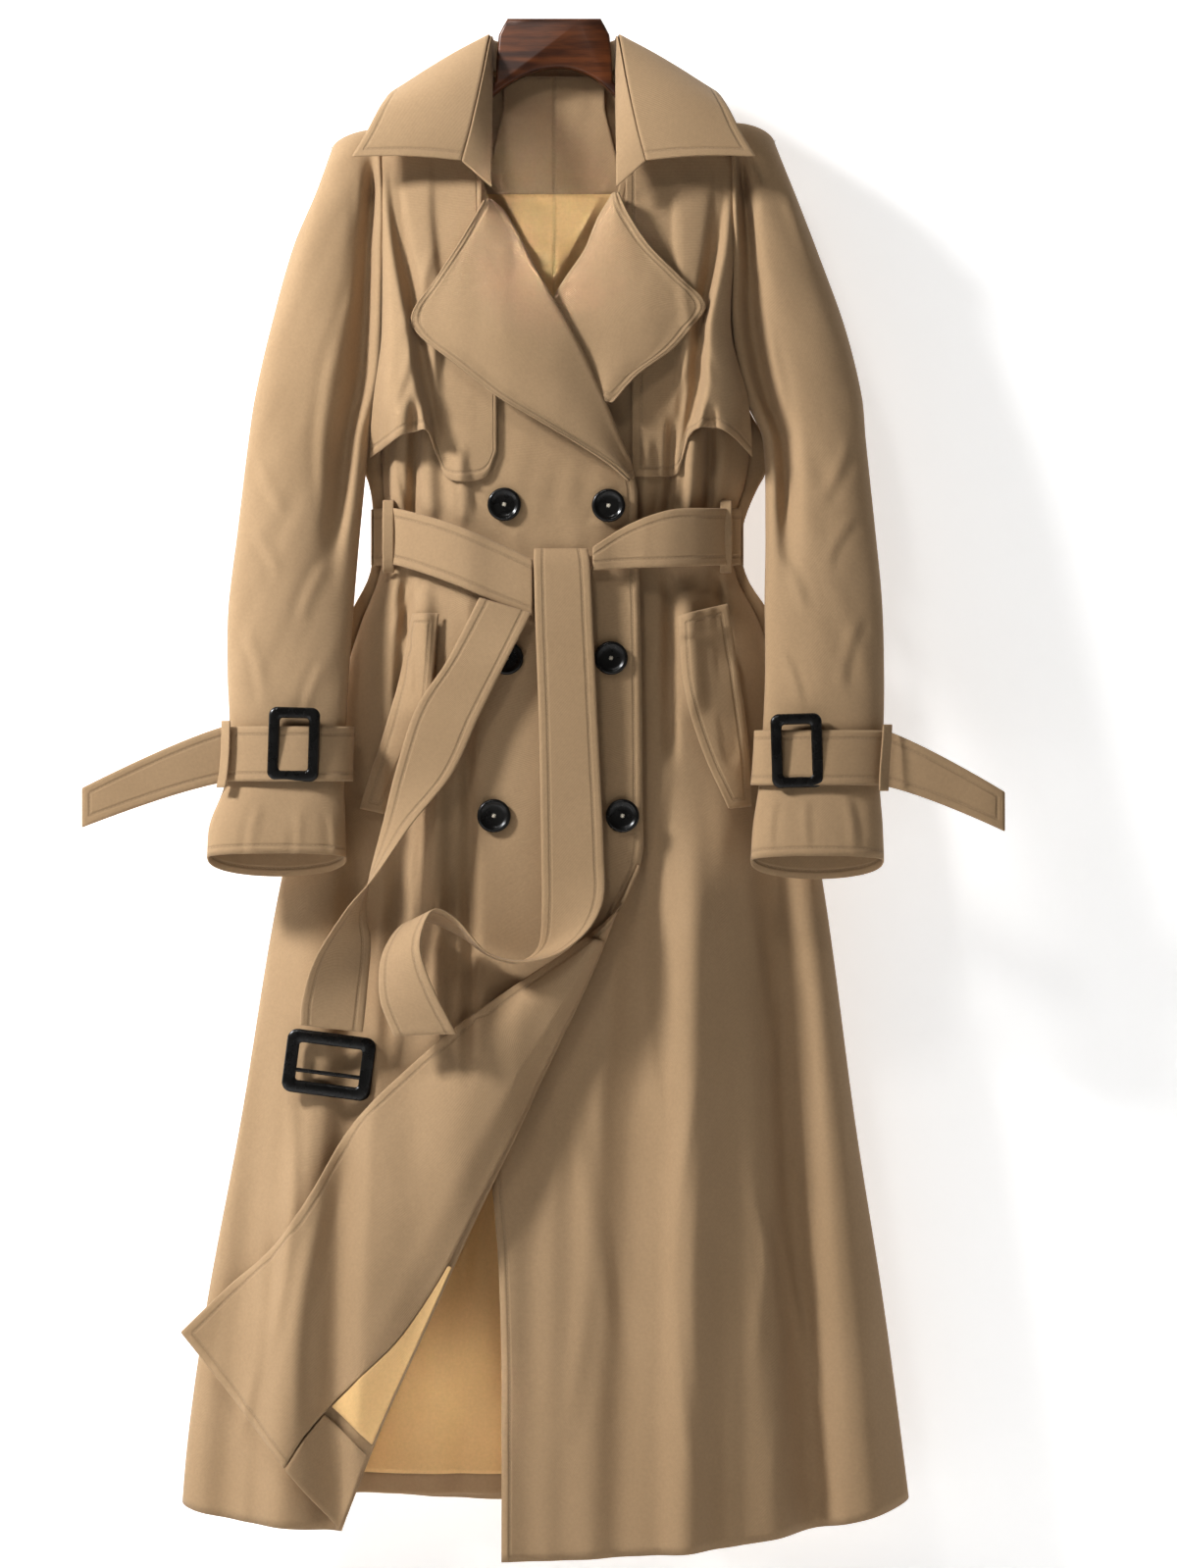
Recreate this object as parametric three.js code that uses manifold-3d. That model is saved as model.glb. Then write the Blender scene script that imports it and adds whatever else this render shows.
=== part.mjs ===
// Trench coat on a wooden hanger, tied with its belt, with the lower right front turned back.
// Millimetres, +Z up. The front faces -Y. The origin is the middle of the hanger's flat top.
// Points are written [x, depth, z], with depth counted forward from the hanger's middle plane.
import * as THREE from 'three';
import Module from 'manifold-3d';
import { mergeVertices } from 'three/addons/utils/BufferGeometryUtils.js';

const wasm = await Module();
wasm.setup();

// Driving dimensions
const CLOTH = 1.4;
const SEAM_GAP = 0.3;
const LAYER = CLOTH + SEAM_GAP;
const BELT_WIDTH = 44;
const STRAP_WIDTH = 43;
const BUTTON_RADIUS = 13.2;
const BUTTON_THICK = 4.4;
const BELT_BUCKLE = { width: 70, height: 50, bar: 10, thick: 5 };
const CUFF_BUCKLE = { width: 40, height: 58, bar: 8.5, thick: 5 };
const HANGER_THICK = 15;
const NECK_HALF = 51;
const NECK_SPREAD = 14;
const SHOULDER_DROP = 0.6;
const SHOULDER_ROUND = 26;
const NECK_TOP = -43;
const OVERLAP_LIFT = 8;
const INSIDE_GAP = 4;
const FLAP_TOP = 15;
const BACK_SEAM_GAP = 0.75;
const ROW_CROWD = 1.45;
const SLEEVE_CROWD = 1.3;
const SLEEVE_GAP = 0.6;
const STRAP_PROUD = 5;

// Body sections: side outlines, front and back depth, and depth at the armhole edge
const BODY = [
  { z: -90, left: -140, right: 144, front: 24, back: 20, edge: 15 },
  { z: -180, left: -137, right: 144, front: 31, back: 23, edge: 17 },
  { z: -245, left: -137, right: 141, front: 36, back: 24, edge: 16 },
  { z: -300, left: -139, right: 150, front: 38, back: 24, edge: 9 },
  { z: -335, left: -138, right: 156, front: 38, back: 24, edge: 0.2 },
  { z: -365, left: -136, right: 153, front: 37, back: 23, edge: 0.2 },
  { z: -410, left: -135, right: 140, front: 34, back: 22, edge: 0.2 },
  { z: -445, left: -140, right: 146, front: 35, back: 23, edge: 0.2 },
  { z: -484, left: -155, right: 165, front: 37, back: 25, edge: 0.2 },
  { z: -577, left: -183, right: 188, front: 40, back: 29, edge: 0.2 },
  { z: -671, left: -214, right: 211, front: 43, back: 33, edge: 0.2 },
  { z: -881, left: -250, right: 240, front: 48, back: 38, edge: 0.2 },
  { z: -1015, left: -275, right: 261, front: 51, back: 42, edge: 0.2 },
  { z: -1127, left: -291, right: 276, front: 54, back: 45, edge: 0.2 },
  { z: -1225, left: -299, right: 288, front: 56, back: 47, edge: 0.2 },
];

// Lower edge of the back
const BACK_HEM = [
  { x: -297, z: -1176.5 }, { x: -150, z: -1176 }, { x: -41, z: -1182 }, { x: 150, z: -1184 },
  { x: 284, z: -1174.5 },
];

// Free edge of each front: the wearer's right one ends in the fold of its turned-back corner
const RIGHT_EDGE = [
  { z: -43, x: -53 }, { z: -100, x: -53 }, { z: -142, x: -53 }, { z: -218, x: -10 },
  { z: -271, x: 21 }, { z: -331, x: 47 }, { z: -367, x: 64 }, { z: -400, x: 66 },
  { z: -513, x: 69 }, { z: -632, x: 70 }, { z: -668, x: 69 }, { z: -707, x: 51 },
  { z: -785, x: 16 }, { z: -843, x: -12 }, { z: -917, x: -47 }, { z: -991, x: -82 },
  { z: -1050, x: -108 }, { z: -1110, x: -135 }, { z: -1154, x: -153 }, { z: -1197, x: -168 },
];
const LEFT_EDGE = [
  { z: -43, x: 53 }, { z: -137, x: 51 }, { z: -239, x: 8 }, { z: -296, x: -12 },
  { z: -359, x: -32 }, { z: -421, x: -50 }, { z: -530, x: -58 }, { z: -686, x: -57 },
  { z: -842, x: -53 }, { z: -919, x: -49 }, { z: -973, x: -44 }, { z: -1076, x: -41 },
  { z: -1219, x: -41 },
];

// Largest folds: middle line from top to bottom, half width, height, and steeper flank
const FRONT_FOLDS = [
  { x0: -120, z0: -300, x1: -126, z1: -408, wide: 13, high: 8, lean: 0 },
  { x0: -100, z0: -320, x1: -98, z1: -408, wide: 12, high: 7, lean: 0 },
  { x0: 112, z0: -318, x1: 106, z1: -408, wide: 12, high: 9, lean: 0 },
  { x0: 137, z0: -318, x1: 130, z1: -408, wide: 11, high: 6, lean: 0 },
  { x0: -104, z0: -440, x1: -96, z1: -590, wide: 12, high: 6, lean: 0 },
  { x0: 105, z0: -440, x1: 112, z1: -560, wide: 13, high: 5, lean: 0 },
  { x0: -92, z0: -560, x1: -90, z1: -830, wide: 24, high: 12, lean: 0.55 },
  { x0: -186, z0: -620, x1: -206, z1: -1120, wide: 34, high: 6, lean: 0 },
  { x0: -140, z0: -600, x1: -150, z1: -820, wide: 30, high: -5, lean: 0 },
  { x0: 112, z0: -620, x1: 104, z1: -1195, wide: 34, high: 8, lean: 0 },
  { x0: 163, z0: -600, x1: 205, z1: -1195, wide: 36, high: -11, lean: 0 },
  { x0: 30, z0: -800, x1: 20, z1: -1195, wide: 40, high: -4, lean: 0 },
];
const BACK_FOLDS = [
  { x0: -70, z0: -320, x1: -62, z1: -410, wide: 16, high: 5, lean: 0 },
  { x0: 66, z0: -320, x1: 60, z1: -410, wide: 16, high: 5, lean: 0 },
  { x0: -100, z0: -450, x1: -150, z1: -1150, wide: 34, high: 7, lean: 0 },
  { x0: 96, z0: -450, x1: 150, z1: -1150, wide: 34, high: 8, lean: 0 },
  { x0: -34, z0: -520, x1: -50, z1: -1150, wide: 30, high: -5, lean: 0 },
  { x0: 36, z0: -500, x1: 56, z1: -1150, wide: 30, high: -5, lean: 0 },
];

// Sleeve sections: edge away from the body, edge beside it, middle depth, half depth, armhole gap
const LEFT_SLEEVE = [
  { z: -88, outer: -172, inner: -141, mid: 0, half: 17, open: 15 },
  { z: -104, outer: -177, inner: -141, mid: 0, half: 20, open: 15 },
  { z: -138, outer: -189, inner: -139, mid: 1, half: 24, open: 16 },
  { z: -181, outer: -207, inner: -138, mid: 2, half: 27, open: 16 },
  { z: -246, outer: -225, inner: -138, mid: 4, half: 28, open: 13 },
  { z: -300, outer: -237, inner: -141, mid: 8, half: 27, open: 6 },
  { z: -335, outer: -242, inner: -146, mid: 12, half: 26, open: 0 },
  { z: -406, outer: -250, inner: -153, mid: 20, half: 25, open: 0 },
  { z: -470, outer: -257, inner: -158, mid: 29, half: 23, open: 0 },
  { z: -520, outer: -257, inner: -161, mid: 38, half: 21, open: 0 },
  { z: -564, outer: -255, inner: -163, mid: 46, half: 19, open: 0 },
  { z: -607, outer: -258, inner: -164, mid: 51, half: 19, open: 0 },
  { z: -640, outer: -270, inner: -163, mid: 55, half: 22, open: 0 },
  { z: -666, outer: -272, inner: -162, mid: 57, half: 23, open: 0 },
];
const RIGHT_SLEEVE = [
  { z: -83, outer: 172, inner: 145, mid: 0, half: 17, open: 15 },
  { z: -97, outer: 175, inner: 145, mid: 0, half: 20, open: 15 },
  { z: -143, outer: 193, inner: 145, mid: 1, half: 24, open: 16 },
  { z: -190, outer: 211, inner: 145, mid: 2, half: 27, open: 16 },
  { z: -246, outer: 231, inner: 144, mid: 4, half: 28, open: 13 },
  { z: -300, outer: 244, inner: 154, mid: 8, half: 27, open: 6 },
  { z: -335, outer: 247, inner: 165, mid: 12, half: 26, open: 0 },
  { z: -406, outer: 254, inner: 167, mid: 20, half: 25, open: 0 },
  { z: -464, outer: 259, inner: 166, mid: 29, half: 23, open: 0 },
  { z: -520, outer: 260, inner: 166, mid: 40, half: 21, open: 0 },
  { z: -564, outer: 259, inner: 164, mid: 49, half: 19, open: 0 },
  { z: -607, outer: 256, inner: 161, mid: 53, half: 19, open: 0 },
  { z: -640, outer: 258, inner: 156, mid: 56, half: 22, open: 0 },
  { z: -668, outer: 259, inner: 154, mid: 58, half: 23, open: 0 },
];
const SLEEVE_TOP = { mid: 12, outer: -14 };
const CUFF_RIM = 7;

// Turned-back corner: its free edge and the matching place on the fold, row by row
const TURNBACK = [
  { v: 0.0, ax: 66, az: -676, bx: 67, bz: -672 },
  { v: 0.1, ax: 49, az: -707, bx: 51, bz: -707 },
  { v: 0.2, ax: 14, az: -736, bx: 35, bz: -743 },
  { v: 0.3, ax: -25, az: -762, bx: 16, bz: -785 },
  { v: 0.4, ax: -73, az: -796, bx: -12, bz: -843 },
  { v: 0.5, ax: -113, az: -830, bx: -29, bz: -880 },
  { v: 0.6, ax: -157, az: -874, bx: -47, bz: -917 },
  { v: 0.7, ax: -190, az: -929, bx: -74, bz: -974 },
  { v: 0.8, ax: -222, az: -973, bx: -105, bz: -1043 },
  { v: 0.9, ax: -258, az: -1006, bx: -136, bz: -1112 },
  { v: 1.0, ax: -294, az: -1041, bx: -168, bz: -1194 },
];
const FACING_SEAM = [
  { v: 0.0, t: 0.98 }, { v: 0.7, t: 0.97 }, { v: 0.8, t: 0.9 }, { v: 0.88, t: 0.78 },
  { v: 0.96, t: 0.68 }, { v: 1.0, t: 0.66 },
];
const HEM_BAND_V = 0.93;

// Lapels: roll line and outer edge, row by row
const LEFT_LAPEL = [
  { v: 0.0, rx: -49, rz: -148, ox: -54, oz: -150 },
  { v: 0.1, rx: -35, rz: -171, ox: -73, oz: -182 },
  { v: 0.2, rx: -20, rz: -200, ox: -94, oz: -213 },
  { v: 0.3, rx: -8, rz: -221, ox: -111, oz: -238 },
  { v: 0.4, rx: 5, rz: -243, ox: -106, oz: -255 },
  { v: 0.5, rx: 19, rz: -269, ox: -76, oz: -279 },
  { v: 0.6, rx: 30, rz: -293, ox: -46, oz: -303 },
  { v: 0.7, rx: 41, rz: -318, ox: -16, oz: -321 },
  { v: 0.8, rx: 50, rz: -340, ox: 15, oz: -339 },
  { v: 0.9, rx: 58, rz: -356, ox: 42, oz: -356 },
  { v: 1.0, rx: 63, rz: -367, ox: 59, oz: -370 },
];
const RIGHT_LAPEL = [
  { v: 0.0, rx: 46, rz: -142, ox: 50, oz: -143 },
  { v: 0.14, rx: 37, rz: -163, ox: 60, oz: -163 },
  { v: 0.28, rx: 28, rz: -186, ox: 76, oz: -186 },
  { v: 0.42, rx: 19, rz: -209, ox: 99, oz: -209 },
  { v: 0.56, rx: 11, rz: -236, ox: 119, oz: -231 },
  { v: 0.67, rx: 16, rz: -254, ox: 107, oz: -250 },
  { v: 0.78, rx: 27, rz: -272, ox: 92, oz: -267 },
  { v: 0.9, rx: 36, rz: -290, ox: 66, oz: -286 },
  { v: 1.0, rx: 43, rz: -306, ox: 46, oz: -308 },
];

// Storm flaps: lower rim across from the armhole, and how far each place stands forward
const LEFT_STORM = [
  { u: 0.0, z: -349, out: 12 }, { u: 0.12, z: -342, out: 15 }, { u: 0.26, z: -334, out: 16 },
  { u: 0.4, z: -330, out: 15 }, { u: 0.48, z: -332, out: 12 }, { u: 0.54, z: -350, out: 4 },
  { u: 0.6, z: -366, out: 2 }, { u: 0.8, z: -369, out: 1 }, { u: 0.93, z: -364, out: 1 },
  { u: 1.0, z: -346, out: 1 },
];
const RIGHT_STORM = [
  { u: 0.0, z: -349, out: 12 }, { u: 0.14, z: -336, out: 15 }, { u: 0.3, z: -328, out: 16 },
  { u: 0.48, z: -329, out: 14 }, { u: 0.55, z: -336, out: 9 }, { u: 0.58, z: -350, out: 4 },
  { u: 0.62, z: -362, out: 2 }, { u: 0.8, z: -365, out: 1 }, { u: 1.0, z: -365, out: 1 },
];

// Collar: fold line, outer edge of the fall and lower edge of the stand, from front to back
const COLLAR = [
  { s: 0.0, fx: 73, fd: 51, fz: -118, ox: 158, od: 48, oz: -115, nx: 49, nd: 49, nz: -139 },
  { s: 0.2, fx: 66, fd: 44, fz: -90, ox: 147, od: 40, oz: -95, nx: 49.2, nd: 40, nz: -112 },
  { s: 0.4, fx: 58, fd: 28, fz: -50, ox: 136, od: 26, oz: -72, nx: 49.5, nd: 25, nz: -76 },
  { s: 0.54, fx: 52, fd: 5, fz: -15, ox: 126, od: 0, oz: -57, nx: 49.7, nd: 3, nz: -40 },
  { s: 0.62, fx: 50, fd: -9, fz: -15, ox: 119, od: -14, oz: -63, nx: 49, nd: -9, nz: -40 },
  { s: 0.7, fx: 44, fd: -18, fz: -16, ox: 108, od: -29, oz: -75, nx: 44, nd: -15, nz: -42 },
  { s: 0.85, fx: 23, fd: -25, fz: -18, ox: 60, od: -40, oz: -92, nx: 25, nd: -20, nz: -46 },
  { s: 1.0, fx: 0, fd: -28, fz: -19, ox: 0, od: -43, oz: -98, nx: 0, nd: -22, nz: -50 },
];

// Belt around the waist: middle height, half width and stand-off across the front
const BELT_LEFT = [
  { v: 0, x: -143, z: -412, half: 22, out: 0.5 }, { v: 0.2, x: -124, z: -413, half: 22, out: 12 },
  { v: 0.5, x: -80, z: -427, half: 23, out: 12 }, { v: 0.8, x: -40, z: -444, half: 23, out: 9 },
  { v: 1, x: -17, z: -454, half: 22, out: 7 },
];
const BELT_RIGHT = [
  { v: 0, x: 31, z: -431, half: 9, out: 8 }, { v: 0.3, x: 60, z: -421, half: 17, out: 9 },
  { v: 0.55, x: 92, z: -415, half: 22, out: 13 }, { v: 0.85, x: 130, z: -413, half: 22, out: 10 },
  { v: 1, x: 148, z: -412, half: 22, out: 0.5 },
];

// Belt tails: both edges of the ribbon down its length
const LONG_TAIL = [
  { v: 0.0, ax: -15, ad: 50, az: -423, bx: 26, bd: 50, bz: -423 },
  { v: 0.05, ax: -15, ad: 57, az: -436, bx: 28, bd: 57, bz: -436 },
  { v: 0.12, ax: -14, ad: 60, az: -477, bx: 30, bd: 60, bz: -477 },
  { v: 0.3, ax: -11, ad: 62, az: -560, bx: 34, bd: 62, bz: -560 },
  { v: 0.5, ax: -9, ad: 65, az: -670, bx: 39, bd: 65, bz: -668 },
  { v: 0.58, ax: -9, ad: 67, az: -708, bx: 38, bd: 72, bz: -700 },
  { v: 0.63, ax: -12, ad: 66, az: -735, bx: 26, bd: 80, bz: -722 },
  { v: 0.68, ax: -28, ad: 64, az: -747, bx: 2, bd: 88, bz: -740 },
  { v: 0.73, ax: -50, ad: 64, az: -742, bx: -28, bd: 92, bz: -746 },
  { v: 0.78, ax: -72, ad: 65, az: -727, bx: -52, bd: 95, bz: -738 },
  { v: 0.83, ax: -96, ad: 67, az: -716, bx: -76, bd: 96, bz: -712 },
  { v: 0.88, ax: -119, ad: 74, az: -718, bx: -95, bd: 101, bz: -706 },
  { v: 0.92, ax: -134, ad: 84, az: -742, bx: -104, bd: 108, bz: -733 },
  { v: 0.96, ax: -135, ad: 88, az: -775, bx: -94, bd: 106, bz: -766 },
  { v: 1.0, ax: -124, ad: 88, az: -804, bx: -76, bd: 98, bz: -802 },
];
const SHORT_TAIL = [
  { v: 0.0, ax: -58, ad: 56, az: -462, bx: -18, bd: 56, bz: -474 },
  { v: 0.14, ax: -83, ad: 62, az: -511, bx: -36, bd: 64, bz: -509 },
  { v: 0.28, ax: -108, ad: 61, az: -550, bx: -59, bd: 64, bz: -555 },
  { v: 0.4, ax: -124, ad: 62, az: -600, bx: -80, bd: 66, bz: -600 },
  { v: 0.5, ax: -133, ad: 66, az: -636, bx: -112, bd: 76, bz: -640 },
  { v: 0.58, ax: -144, ad: 64, az: -678, bx: -140, bd: 84, bz: -680 },
  { v: 0.66, ax: -148, ad: 62, az: -706, bx: -162, bd: 82, bz: -706 },
  { v: 0.76, ax: -144, ad: 58, az: -732, bx: -186, bd: 76, bz: -744 },
  { v: 0.88, ax: -149, ad: 59, az: -782, bx: -197, bd: 64, bz: -784 },
  { v: 0.94, ax: -151, ad: 60, az: -808, bx: -197, bd: 60, bz: -804 },
  { v: 1.0, ax: -154, ad: 60, az: -834, bx: -196, bd: 60, bz: -830 },
];

// Pocket welts: both long edges from the top down
const LEFT_WELT = [
  { v: 0, ax: -112, az: -474, bx: -91, bz: -474 }, { v: 0.4, ax: -126, az: -540, bx: -99, bz: -548 },
  { v: 1, ax: -153, az: -627, bx: -134, bz: -631 },
];
const RIGHT_WELT = [
  { v: 0, ax: 98, az: -476, bx: 137, bz: -466 }, { v: 0.35, ax: 102, az: -530, bx: 147, bz: -530 },
  { v: 0.7, ax: 118, az: -583, bx: 154, bz: -585 }, { v: 1, ax: 138, az: -627, bx: 156, bz: -625 },
];

// Button places, with the front that carries each one
const BUTTONS = [
  { name: 'button_1', x: -39, z: -388 }, { name: 'button_2', x: 43, z: -389 },
  { name: 'button_3', x: -37, z: -509 }, { name: 'button_4', x: 45, z: -509 },
  { name: 'button_5', x: -47, z: -633 }, { name: 'button_6', x: 54, z: -633 },
];

// Colours
const CLOTH_COLOUR = 0xb8956a;
const LINING_COLOUR = 0xd4a872;
const WOOD_COLOUR = 0x5a2c16;
const TRIM_COLOUR = 0x141414;

const cloth = new THREE.MeshStandardMaterial({ color: CLOTH_COLOUR, roughness: 0.85, metalness: 0 });
const lining = new THREE.MeshStandardMaterial({ color: LINING_COLOUR, roughness: 0.6, metalness: 0 });
const wood = new THREE.MeshStandardMaterial({ color: WOOD_COLOUR, roughness: 0.35, metalness: 0 });
const trim = new THREE.MeshStandardMaterial({ color: TRIM_COLOUR, roughness: 0.2, metalness: 0 });

const coat = new THREE.Group();

// Number helpers
const clamp = (value, low, high) => Math.min(high, Math.max(low, value));
const mix = (a, b, t) => a + (b - a) * t;
const ease = (t) => {
  const c = clamp(t, 0, 1);
  return c * c * (3 - 2 * c);
};

// Value of one column of a table at a place along its key column, as a smooth curve
function read(rows, key, place, column) {
  const rising = rows[rows.length - 1][key] > rows[0][key];
  const sign = rising ? 1 : -1;
  const last = rows.length - 1;
  const at = clamp(place * sign, rows[0][key] * sign, rows[last][key] * sign);
  let i = 0;
  while (i < last - 1 && rows[i + 1][key] * sign < at) i += 1;
  const k = (n) => rows[clamp(n, 0, last)][key] * sign;
  const c = (n) => rows[clamp(n, 0, last)][column];
  const slope = (n) => (c(n + 1) - c(n - 1)) / (k(n + 1) - k(n - 1));
  const step = k(i + 1) - k(i);
  const t = (at - k(i)) / step;
  const a = 2 * t ** 3 - 3 * t ** 2 + 1;
  const b = t ** 3 - 2 * t ** 2 + t;
  const e = t ** 3 - t ** 2;
  return a * c(i) + (1 - a) * c(i + 1) + step * (b * slope(i) + e * slope(i + 1));
}

// Height of the shoulder seam, which falls away from the neck
const shoulder = (x) => NECK_TOP - SHOULDER_DROP * Math.max(0, Math.abs(x) - NECK_HALF);

// Sum of the folds at a place: each one rises and fades along its line
function foldsAt(folds, x, z) {
  let sum = 0;
  for (const f of folds) {
    const along = (z - f.z0) / (f.z1 - f.z0);
    if (along <= 0 || along >= 1) continue;
    const fade = ease(Math.min(along, 1 - along) * 5 + (along > 0.5 && f.z1 < -1100 ? 1 : 0));
    const off = (x - mix(f.x0, f.x1, along)) / f.wide;
    const skewed = off > 0 ? off / (1 - f.lean) : off;
    if (Math.abs(skewed) < 1) sum += f.high * fade * Math.cos(skewed * Math.PI / 2) ** 2;
  }
  return sum;
}

// Depth of the coat's body at a place, in front (side 'front') or behind (side 'back')
function bodyDepth(x, z, side) {
  const left = read(BODY, 'z', z, 'left');
  const right = read(BODY, 'z', z, 'right');
  const half = (right - left) / 2;
  const across = clamp(Math.abs(x - (left + right) / 2) / half, 0, 1);
  const edge = read(BODY, 'z', z, 'edge');
  const full = read(BODY, 'z', z, side);
  const crown = (1 - across ** 2.4) ** 0.55;
  const spread = ease((NECK_HALF - Math.abs(x)) / NECK_SPREAD);
  const fall = clamp((shoulder(x) - z) / SHOULDER_ROUND + spread, 0, 1);
  const folds = foldsAt(side === 'front' ? FRONT_FOLDS : BACK_FOLDS, x, z);
  return SEAM_GAP / 2 + (edge + (full - edge) * crown) * Math.sqrt(1 - (1 - fall) ** 2)
    + folds * Math.min(1, crown * 1.5);
}

// The overlapping front stands clear of the one under it
const overlapLift = (x, z) => OVERLAP_LIFT * ease((x + 118) / 56) * ease((-100 - z) / 80);
const frontLayer = (x, z, layers) => bodyDepth(x, z, 'front') + layers * LAYER;
const overLayer = (x, z, layers) => frontLayer(x, z, layers) + overlapLift(x, z);

// Geometry of a list of corner points and triangles, turned so that its faces point out
function solidFrom(points, triangles) {
  const positions = new Float32Array(points.length * 3);
  points.forEach((p, i) => positions.set([p[0], -p[1], p[2]], i * 3));
  let volume = 0;
  const corner = (i) => new THREE.Vector3().fromArray(positions, i * 3);
  for (const [a, b, c] of triangles) volume += corner(a).dot(corner(b).cross(corner(c)));
  const turned = volume < 0 ? triangles.map(([a, b, c]) => [a, c, b]) : triangles;
  const geometry = new THREE.BufferGeometry();
  geometry.setAttribute('position', new THREE.BufferAttribute(positions, 3));
  geometry.setIndex(turned.flat());
  return geometry;
}

// Unit normals of a grid of points, by differences along its rows and columns
function gridNormals(grid, wrap) {
  const rows = grid.length;
  const cols = grid[0].length;
  const vec = (p) => new THREE.Vector3(p[0], p[1], p[2]);
  return grid.map((row, j) => row.map((point, i) => {
    const west = wrap ? row[(i + cols - 1) % cols] : row[Math.max(0, i - 1)];
    const east = wrap ? row[(i + 1) % cols] : row[Math.min(cols - 1, i + 1)];
    const north = grid[Math.max(0, j - 1)][i];
    const south = grid[Math.min(rows - 1, j + 1)][i];
    return vec(east).sub(vec(west)).cross(vec(south).sub(vec(north))).normalize();
  }));
}

// Closed wall over a surface(u, v): outer points, the same points moved in, and the rims.
// The rims listed in level (0 first, 1 last), and a top seam, are moved in at their own depth,
// and those listed in plumb at their own x.
function wall(surface, {
  across, down, thick = CLOTH, inward = -1, wrap = false, level = [], plumb = [], seamTop = false,
}) {
  const cols = wrap ? across : across + 1;
  const grid = [];
  for (let j = 0; j <= down; j += 1) {
    const row = [];
    for (let i = 0; i < cols; i += 1) row.push(surface(i / across, j / down));
    grid.push(row);
  }
  const normals = gridNormals(grid, wrap);
  for (const i of level.map((side) => side * across)) {
    normals.forEach((row) => row[i].setComponent(1, 0).normalize());
  }
  for (const i of plumb.map((side) => side * across)) {
    normals.forEach((row) => row[i].setComponent(0, 0).normalize());
  }
  if (seamTop) normals[0].forEach((normal) => normal.setComponent(1, 0).normalize());
  const outer = grid.flat();
  const inner = outer.map((p, n) => {
    const normal = normals[Math.floor(n / cols)][n % cols];
    return p.map((value, axis) => value + normal.getComponent(axis) * thick * inward);
  });
  const count = outer.length;
  const at = (i, j) => j * cols + (wrap ? i % cols : i);
  const triangles = [];
  const quad = (a, b, c, d) => triangles.push([a, b, c], [a, c, d]);
  for (let j = 0; j < down; j += 1) {
    for (let i = 0; i < across; i += 1) {
      quad(at(i, j), at(i, j + 1), at(i + 1, j + 1), at(i + 1, j));
      quad(count + at(i, j), count + at(i + 1, j), count + at(i + 1, j + 1), count + at(i, j + 1));
    }
  }
  for (let i = 0; i < across; i += 1) {
    quad(at(i, 0), at(i + 1, 0), count + at(i + 1, 0), count + at(i, 0));
    quad(at(i, down), count + at(i, down), count + at(i + 1, down), at(i + 1, down));
  }
  if (!wrap) {
    for (let j = 0; j < down; j += 1) {
      quad(at(0, j), count + at(0, j), count + at(0, j + 1), at(0, j + 1));
      quad(at(across, j), at(across, j + 1), count + at(across, j + 1), count + at(across, j));
    }
  }
  return solidFrom([...outer, ...inner], triangles);
}

// Join of several closed geometries that overlap one another
function joined(geometries) {
  const solids = geometries.map((geometry) => {
    const bare = mergeVertices(geometry.clone().deleteAttribute('normal').deleteAttribute('uv'));
    return new wasm.Manifold(new wasm.Mesh({
      numProp: 3,
      vertProperties: bare.attributes.position.array,
      triVerts: new Uint32Array(bare.index.array),
    }));
  });
  const mesh = solids.reduce((whole, next) => whole.add(next)).getMesh();
  const geometry = new THREE.BufferGeometry();
  geometry.setAttribute('position', new THREE.BufferAttribute(mesh.vertProperties, 3));
  geometry.setIndex([...mesh.triVerts]);
  return geometry;
}

function add(name, geometry, material) {
  const mesh = new THREE.Mesh(geometry, material);
  mesh.name = name;
  coat.add(mesh);
}

// Place on the turned-back corner: t runs from its free edge to the fold
function turnbackPoint(t, v, layers) {
  const x = mix(read(TURNBACK, 'v', v, 'ax'), read(TURNBACK, 'v', v, 'bx'), t);
  const z = mix(read(TURNBACK, 'v', v, 'az'), read(TURNBACK, 'v', v, 'bz'), t);
  const inside = clamp(x, read(BODY, 'z', z, 'left') + 14, 200);
  const sag = 5 * ease((1 - t) * 4) + 7 * Math.sin(Math.PI * t) * ease(v * 3);
  return [x, overLayer(inside, z, 0) + 5 + sag + layers * LAYER, z];
}

// Wearer's right front: the panel, and the corner that folds round onto it
function frontRight() {
  const panel = wall((u, v) => {
    const top = mix(shoulder(-140), shoulder(NECK_HALF), u);
    const end = mix(-1177, -1196, u ** 0.6);
    const z = mix(top, end, v ** ROW_CROWD);
    const x = mix(read(BODY, 'z', z, 'left'), read(RIGHT_EDGE, 'z', z, 'x'), u ** 1.4);
    return [x, overLayer(x, z, 1), z];
  }, { across: 12, down: 26, level: [0], seamTop: true });
  const corner = wall((u, v) => {
    const [x, depth, z] = turnbackPoint(1 - u, v, 0);
    const under = overLayer(x, z, 1) - CLOTH * 0.6;
    return [x + 2 * ease(1 - u * 10), mix(under, depth, ease(u * 10)), z];
  }, { across: 10, down: 14, inward: 1 });
  add('front_right', joined([panel, corner]), cloth);
}

function frontLeft() {
  add('front_left', wall((u, v) => {
    const top = mix(shoulder(NECK_HALF), shoulder(144), u);
    const end = mix(-1219, -1175, u ** 1.6);
    const z = mix(top, end, v ** ROW_CROWD);
    const seam = read(BODY, 'z', z, 'right');
    const x = mix(read(LEFT_EDGE, 'z', z, 'x'), seam, 1 - (1 - u) ** 1.4);
    return [x, frontLayer(x, z, 0), z];
  }, { across: 13, down: 26, level: [1], seamTop: true }), cloth);
}

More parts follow.
